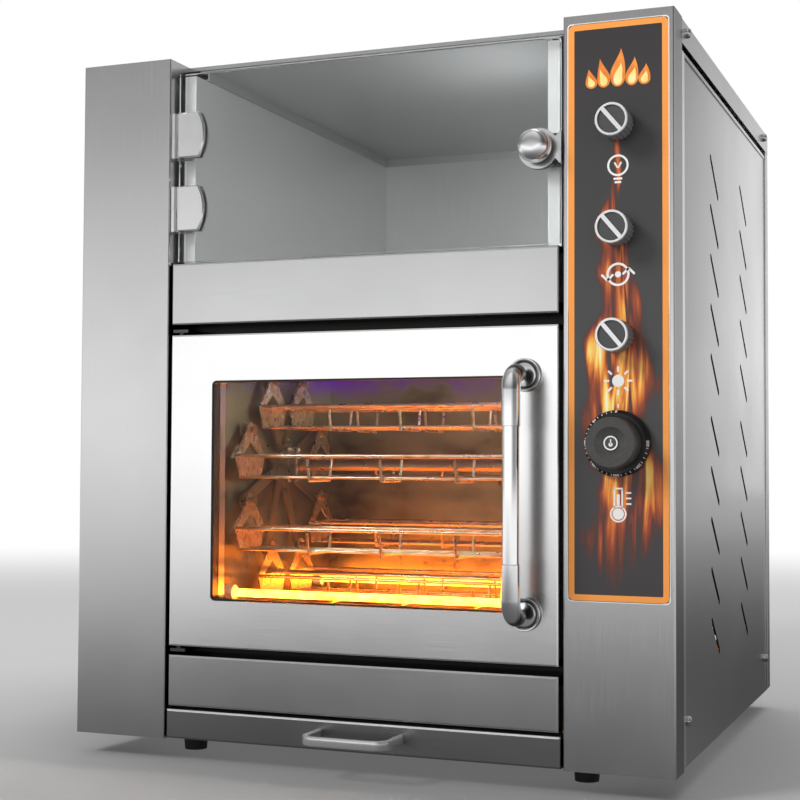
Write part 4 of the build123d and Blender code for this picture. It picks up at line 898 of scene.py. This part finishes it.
def make_turned_knob():
    """Turned knob on the glass: a stem that flares into a drum with a domed front."""
    low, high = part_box("cabinet_knob")
    middle = middle_of("cabinet_knob")
    radius, reach, drum = (high[0] - low[0]) / 2, high[1] - low[1], mm(KNOB_NECK + KNOB_DRUM)
    stem = 0.5
    profile = [(stem, mm(1.5)), (0.56, mm(KNOB_NECK - 0.6)), (0.80, mm(KNOB_NECK + 0.8)),
               (0.97, mm(KNOB_NECK + 3.4)), (1.0, mm(KNOB_NECK + 4.4)), (1.0, drum)]
    for step in range(1, 15):
        a = radians(90 * step / 14.5)
        profile.append((cos(a) ** DOME_SQUARE, drum + (reach - drum) * sin(a)))
    start_piece(bpy.ops.mesh.primitive_circle_add, vertices=72, radius=radius * stem, fill_type="NGON",
                rotation=(pi / 2, 0, 0), location=(middle.x, high[1], middle.z))
    edit_mode()
    bpy.ops.mesh.select_mode(type="FACE")
    select_all()
    share, forward = stem, 0.0
    for wider, further in profile:
        extrude(0, forward - further, 0)
        ratio = wider / share
        bpy.ops.transform.resize(value=(ratio, 1, ratio),
                                 center_override=(middle.x, high[1] - further, middle.z))
        share, forward = wider, further
    object_mode()
    knob = finish_piece("turned_glass_knob", "cabinet_door", knob_steel, smooth=24)
    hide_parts("cabinet_knob")


def make_drawer_handle():
    """Flat bar bent into a loop, with rounded corners and softened edges."""
    low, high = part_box("drawer_handle")
    middle = middle_of("drawer_handle")
    start_piece(bpy.ops.mesh.primitive_plane_add, scale=(high[0] - low[0], high[1] - low[1], 1), size=1,
                location=(middle.x, middle.y, low[2]))
    edit_mode()
    select_where(lambda vertex: vertex.co.y < low[1] + mm(1), kind="VERT")
    bpy.ops.mesh.bevel(offset=mm(LOOP_CORNER), segments=5, profile=0.4, affect="VERTICES")
    bpy.ops.mesh.select_mode(type="FACE")
    select_all()
    bpy.ops.mesh.inset(thickness=mm(LOOP_T))
    bpy.ops.mesh.delete(type="FACE")
    select_where(lambda face: face.center.y > high[1] - mm(LOOP_T))
    bpy.ops.mesh.delete(type="FACE")
    select_where(lambda vertex: vertex.co.y > high[1] - mm(LOOP_T + 1), kind="VERT")
    bpy.ops.transform.resize(value=(1, 0, 1), center_override=(0, high[1], low[2]))
    object_mode()
    apply_modifier("SOLIDIFY", thickness=high[2] - low[2], offset=1.0)
    bevel_piece(mm(1.4), segments=3, angle=50)
    loop = finish_piece("drawer_loop", "crumb_drawer", loop_steel, smooth=40)
    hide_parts("drawer_handle")


def round_top(width, segments):
    """Rounds the edges of the active object's top face."""
    edit_mode()
    select_where(lambda face: face.normal.z > 0.9)
    bpy.ops.mesh.bevel(offset=mm(width), segments=segments, affect="EDGES")
    object_mode()


def make_slot_lips():
    """Folded lips that stand in the open slots between the side panels and the roof."""
    low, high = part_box("right_side_panel")
    front, back = low[1] + mm(LIP_FROM), high[1] - mm(LIP_TO)
    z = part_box("roof_cover")[0][2] - mm(SLOT_OPEN - LIP_H / 2)
    size = (mm(LIP_T), back - front, mm(LIP_H))
    lips = []
    for side in (-1, 1):
        lips.append(start_piece(bpy.ops.mesh.primitive_cube_add, scale=size, size=1,
                                location=(side * (high[0] - mm(LIP_T)), (front + back) / 2, z)))
        round_top(0.7, 3)
    join_pieces(lips)
    finish_piece("panel_slot_lips", "housing", panel_steel, smooth=35)


def make_screw():
    """Pan head with a cross recess, on the XY plane and pointing to +Z."""
    head = start_piece(bpy.ops.mesh.primitive_cylinder_add, vertices=40, radius=mm(SCREW_D / 2),
                       depth=mm(SCREW_H), location=mm(0, 0, SCREW_H / 2))
    round_top(SCREW_ROUND, 6)
    for turn in (0, 90):
        bar = start_piece(bpy.ops.mesh.primitive_cube_add, scale=mm(RECESS_L, RECESS_W, 2 * RECESS_DEEP),
                          size=1, location=mm(0, 0, SCREW_H), rotation=(0, 0, radians(turn)))
        edit_mode()
        select_where(lambda face: face.normal.z < -0.9)
        bpy.ops.transform.resize(value=(RECESS_TAPER, RECESS_TAPER, 1), center_override=(0, 0, 0))
        clear_selection()
        head.select_set(True)
        bpy.context.view_layer.objects.active = head
        apply_modifier("BOOLEAN", operation="DIFFERENCE", object=bar)
        bpy.data.objects.remove(bar)
    return head


def make_screws():
    """Fourteen screws, each turned as far as it went."""
    rear = behind_face(BODY_D)
    depths = (behind_face(58), rear - mm(36))
    upper, lower = (BODY_HALF, 702), (BODY_HALF - 1.5, 64.5)
    places = [(side * mm(half), y, mm(z), side)
              for half, z in (upper, lower) for side in (-1, 1) for y in depths]
    places += [(side * mm(BODY_HALF - 25), rear, mm(z), 0) for side in (-1, 1) for z in (47, 367, 663)]
    heads = [make_screw()]
    while len(heads) < len(places):
        head = heads[0].copy()
        head.data = heads[0].data.copy()
        bpy.context.scene.collection.objects.link(head)
        heads.append(head)
    for i, (head, (x, y, z, side)) in enumerate(zip(heads, places)):
        stand = Matrix.Rotation(radians(90 * side), 4, "Y") if side else Matrix.Rotation(radians(-90), 4, "X")
        head.matrix_world = Matrix.Translation((x, y, z)) @ stand @ Matrix.Rotation(radians(37 * i), 4, "Z")
    join_pieces(heads)
    screws = finish_piece("pan_head_screws", "housing", screw_steel, smooth=35)
    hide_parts("panel_screws")


# ---------------------------------------- dressing

place_camera()
make_floor()
make_world()
place_lamps()
bpy.context.scene.view_settings.view_transform = "Standard"

# Uprights: soft vertical streaks of light, painted shade on the folds in the gaps and on the returned sides.
column_steel = grimed(brushed_stainless("brushed_stainless_upright", SHEET, 0.20, "z"))
shaded_returns(column_steel)
dress(column_steel, "left_column", "control_column")

# Side panels: the clearest brushed sheet, with painted shade at its upper front and a painted highlight on
# the strip behind the uprights.
panel_steel = brushed_stainless("brushed_stainless_panel", SHEET, 0.16, "z")
graded_front(panel_steel)
# Painted highlight: a near-white band on the raised strip behind the uprights.
overlay(panel_steel, band(panel_steel.node_tree, "Y", behind_face(HEM[0]), behind_face(HEM[1])), "#FAFAFA")
dress(panel_steel, "left_side_panel", "right_side_panel")

# Back, roof and base: the same sheet, a little duller, brushed along each.
dress(brushed_stainless("brushed_stainless_rear", SHEET, 0.22, "z"), "back_panel")
dress(brushed_stainless("brushed_stainless_deep", SHEET, 0.22, "y"), "roof_cover", "base_pan")

# Fronts brushed across: mid grey shelf and fascia, a darker drawer, a near-white oven door; painted shade in
# their gaps.
dress(grimed(brushed_stainless("brushed_stainless_across", SHEET, 0.20, "x")), "shelf_front", "lower_fascia")
# The drawer's darker tone is painted shade; the white band along its top fold is a painted highlight.
drawer_steel = grimed(brushed_stainless("dull_brushed_stainless", ("#9C9C9D", "#A9A9AA"), 0.22, "x"))
drawer_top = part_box("drawer_front")[1][2]
overlay(drawer_steel, band(drawer_steel.node_tree, "Z", drawer_top - mm(2.6), drawer_top + mm(1)), "#FFFFFF")
dress(drawer_steel, "drawer_front")
# The door's near-white tone is painted light.
door_steel = grimed(brushed_stainless("bright_brushed_stainless", ("#F4F4F4", "#FFFFFF"), 0.18, "x"))
dress(door_steel, "oven_door_shell")

# Inner sheet as rolled: flat pale grey; on the front plate, painted shade in the gaps above and below the
# oven door.
dress(brushed_stainless("mill_finish_stainless", MILL, 0.26, "x", depth=0.05),
      "oven_door_inner", "motor_bracket", "drawer_runners")
plate_steel = brushed_stainless("mill_finish_front_plate", MILL, 0.26, "x", depth=0.05)
for gap in (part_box("shelf_front")[0][2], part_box("lower_fascia")[1][2]):
    overlay(plate_steel, band(plate_steel.node_tree, "Z", gap - mm(GAP_DARK), gap + mm(GAP_DARK)), "#262524")
dress(plate_steel, "front_plate")

# Drawer tray: black with burnt juice, clean at its front.
tray_steel = brushed_stainless("greased_tray_stainless", MILL, 0.26, "x", depth=0.05)
overlay(tray_steel, band(tray_steel.node_tree, "Y", mm(-12), mm(300), soft=25), "#14110E")
dress(tray_steel, "drawer_tray")

# Warming cabinet: pale satin sheet, with painted light on its side walls, and painted shade on the left of
# its ceiling and on the ceiling's lips.
liner_steel = brushed_stainless("bright_annealed_stainless", ("#CDCDCD", "#DCDCDC"), 0.33, "z", depth=0.04,
                                metal=LINER_METAL)
ceiling_steel = liner_steel.copy()
ceiling_steel.name = "bright_annealed_ceiling"
brighter_walls(liner_steel)
hazed_left(ceiling_steel)
shade_lips(ceiling_steel)
dress(liner_steel, "cabinet_liner", "cabinet_floor")
dress(ceiling_steel, "cabinet_ceiling")

# Fittings: mirror bright tube, softer castings, loop and clamps, and dark oiled pivots.
dress(polished_steel("oiled_pivot_steel", "#5E5E5F", 0.30), "oven_hinge_brackets", "door_pivot_blocks")
dress(polished_steel("polished_stainless", "#D8D8D9", 0.07), "cabinet_knob")
# Handle tube and castings: their near-white tones are painted light; their backs and feet carry painted
# shade.
handle_steel = unbuffed_back(polished_steel("buffed_handle_stainless", "#F4F4F5", 0.07))
casting_steel = unbuffed_back(polished_steel("satin_handle_casting", "#F6F6F7", 0.15))
loop_steel = polished_steel("satin_bar_stainless", "#CFCFD0", 0.14, metal=BAR_METAL)
screw_steel = polished_steel("zinc_plated_screw", "#BABABC", 0.09)
dress(handle_steel, "handle_tube")
dress(casting_steel, "handle_brackets")
dress(loop_steel, "drawer_handle")
dress(screw_steel, "panel_screws")
dress(polished_steel("satin_clamp_stainless", "#E2E2E3", 0.20, metal=CLAMP_METAL),
      "glass_clamps", "cabinet_hinge_leaves")

# Turned knob on the glass: satin front, and painted shade, dark, on its stem and flare behind the drum.
knob_steel = polished_steel("satin_turned_stainless", "#EAEAEB", 0.17)
glass_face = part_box("cabinet_knob")[1][1]
knob_back = band(knob_steel.node_tree, "Y", glass_face - mm(KNOB_NECK + 4.6), glass_face + mm(1), soft=3)
overlay(knob_steel, knob_back, "#242425")

# Inside the oven: browned and violet sheet, bright wire, brown spiders, dull brass, orange heaters.
dress(sooted(heat_tinted_steel()), "oven_liner")
dress(basket_wire(), *(f"basket_{i}" for i in range(1, 9)))
dress(polished_steel("heat_browned_stainless", "#94866F", 0.28), "rotor_spiders", "rotor_shaft")
dress(turned_brass(), "shaft_bushes")
heater_glow = glowing("glowing_heater_sheath", "#5A2A12", "#FF5A10", "#FF9A28", 46.0, 10)
cool_upper(heater_glow)
dress(heater_glow, "heater_tubes")

# Lamp lenses: a plain white glow.
lens_glow = glowing("lit_lamp_glass", "#E6E6E6", "#F4F6FA", "#FFFFFF", 165.0, 8)
stronger_below(lens_glow, 420.0, mm(500))
dress(lens_glow, "lamp_lenses")

# Caps and lamp holders: cream glaze, dark beyond the muffle's sides.
ceramic = grained("glazed_steatite", "#CFC8BA", "#E4DED2", 0.3, 4.0, depth=0.04)
near, far = MUFFLE[1][0] + mm(1), MUFFLE[1][0] + mm(90)
for start, end in ((near, far), (-far, -near)):
    overlay(ceramic, band(ceramic.node_tree, "X", start, end), "#1C1A18")
dress(ceramic, "heater_caps", "lamp_holders")

# Soft and moulded parts: dull black feet, gasket and mouldings, speckled rope and wool, pebbled grey drive.
dress(grained("vulcanised_rubber", "#0B0B0B", "#151515", 0.6, 1.2), "rubber_feet")
dress(grained("black_silicone", "#0A0A0A", "#121212", 0.38, 2.0, depth=0.05), "window_seal")
dress(grained("moulded_nylon", "#101010", "#1A1A1A", 0.45, 1.0),
      "cable_gland", "magnetic_catches", "rotary_switches", "thermostat")
dress(grained("braided_glass_fibre", "#4A463F", "#6E685E", 0.9, 2.2, depth=0.6), "oven_door_seal")
dress(grained("mineral_wool", "#8A7C4E", "#B3A36C", 0.95, 3.0, depth=0.8), "oven_insulation")
dress(grained("hammered_grey_enamel", "#3C3D3F", "#4A4B4D", 0.35, 3.0, depth=0.3), "gearmotor")

# Panes: clear, with weak mirror images.
dress(clear_glass("toughened_glass", "#FAFCFB", 1.30), "cabinet_glass")
dress(clear_glass("toughened_oven_glass", "#FBF6EE", 1.18), "window_pane")

# Controls: silver rims on grey knobs, a satin charcoal dial, black toward the label, and the label's print.
phenolic = grained("moulded_phenolic", "#3A3938", "#464543", 0.34, 1.5, depth=0.05)
skirt_front = LABEL_FACE - mm(KNOB_GAP + DIAL_SKIRT_H + 0.5)
overlay(phenolic, band(phenolic.node_tree, "Y", skirt_front, LABEL_FACE), "#0B0B0B")
dress(phenolic, "thermostat_dial")
dress(foiled_knob(), "switch_knob_1", "switch_knob_2", "switch_knob_3")
dress(printed_film(), "control_label")
white_ink = grained("white_screen_ink", "#E4E4E2", "#F2F2F0", 0.5, 0.6, depth=0.04)
orange_ink = grained("orange_screen_ink", "#F0953F", "#F9A452", 0.42, 0.8, depth=0.04)
flame_orange = grained("orange_flame_ink", "#E0752E", "#F39A3E", 0.45, 9.0, depth=0.04)
flame_yellow = grained("yellow_flame_ink", "#FFD978", "#FFF0B4", 0.45, 9.0, depth=0.04)

label_frame("label_white_edge", 0.0, 1.2, 4.0, white_ink)
label_frame("label_orange_border", 0.7, 6.0, 7.0, orange_ink)
print_signs()
print_flames()
print_dial_marks()
make_door_handle()
make_turned_knob()
make_drawer_handle()
make_screws()
make_slot_lips()

bpy.context.view_layer.update()
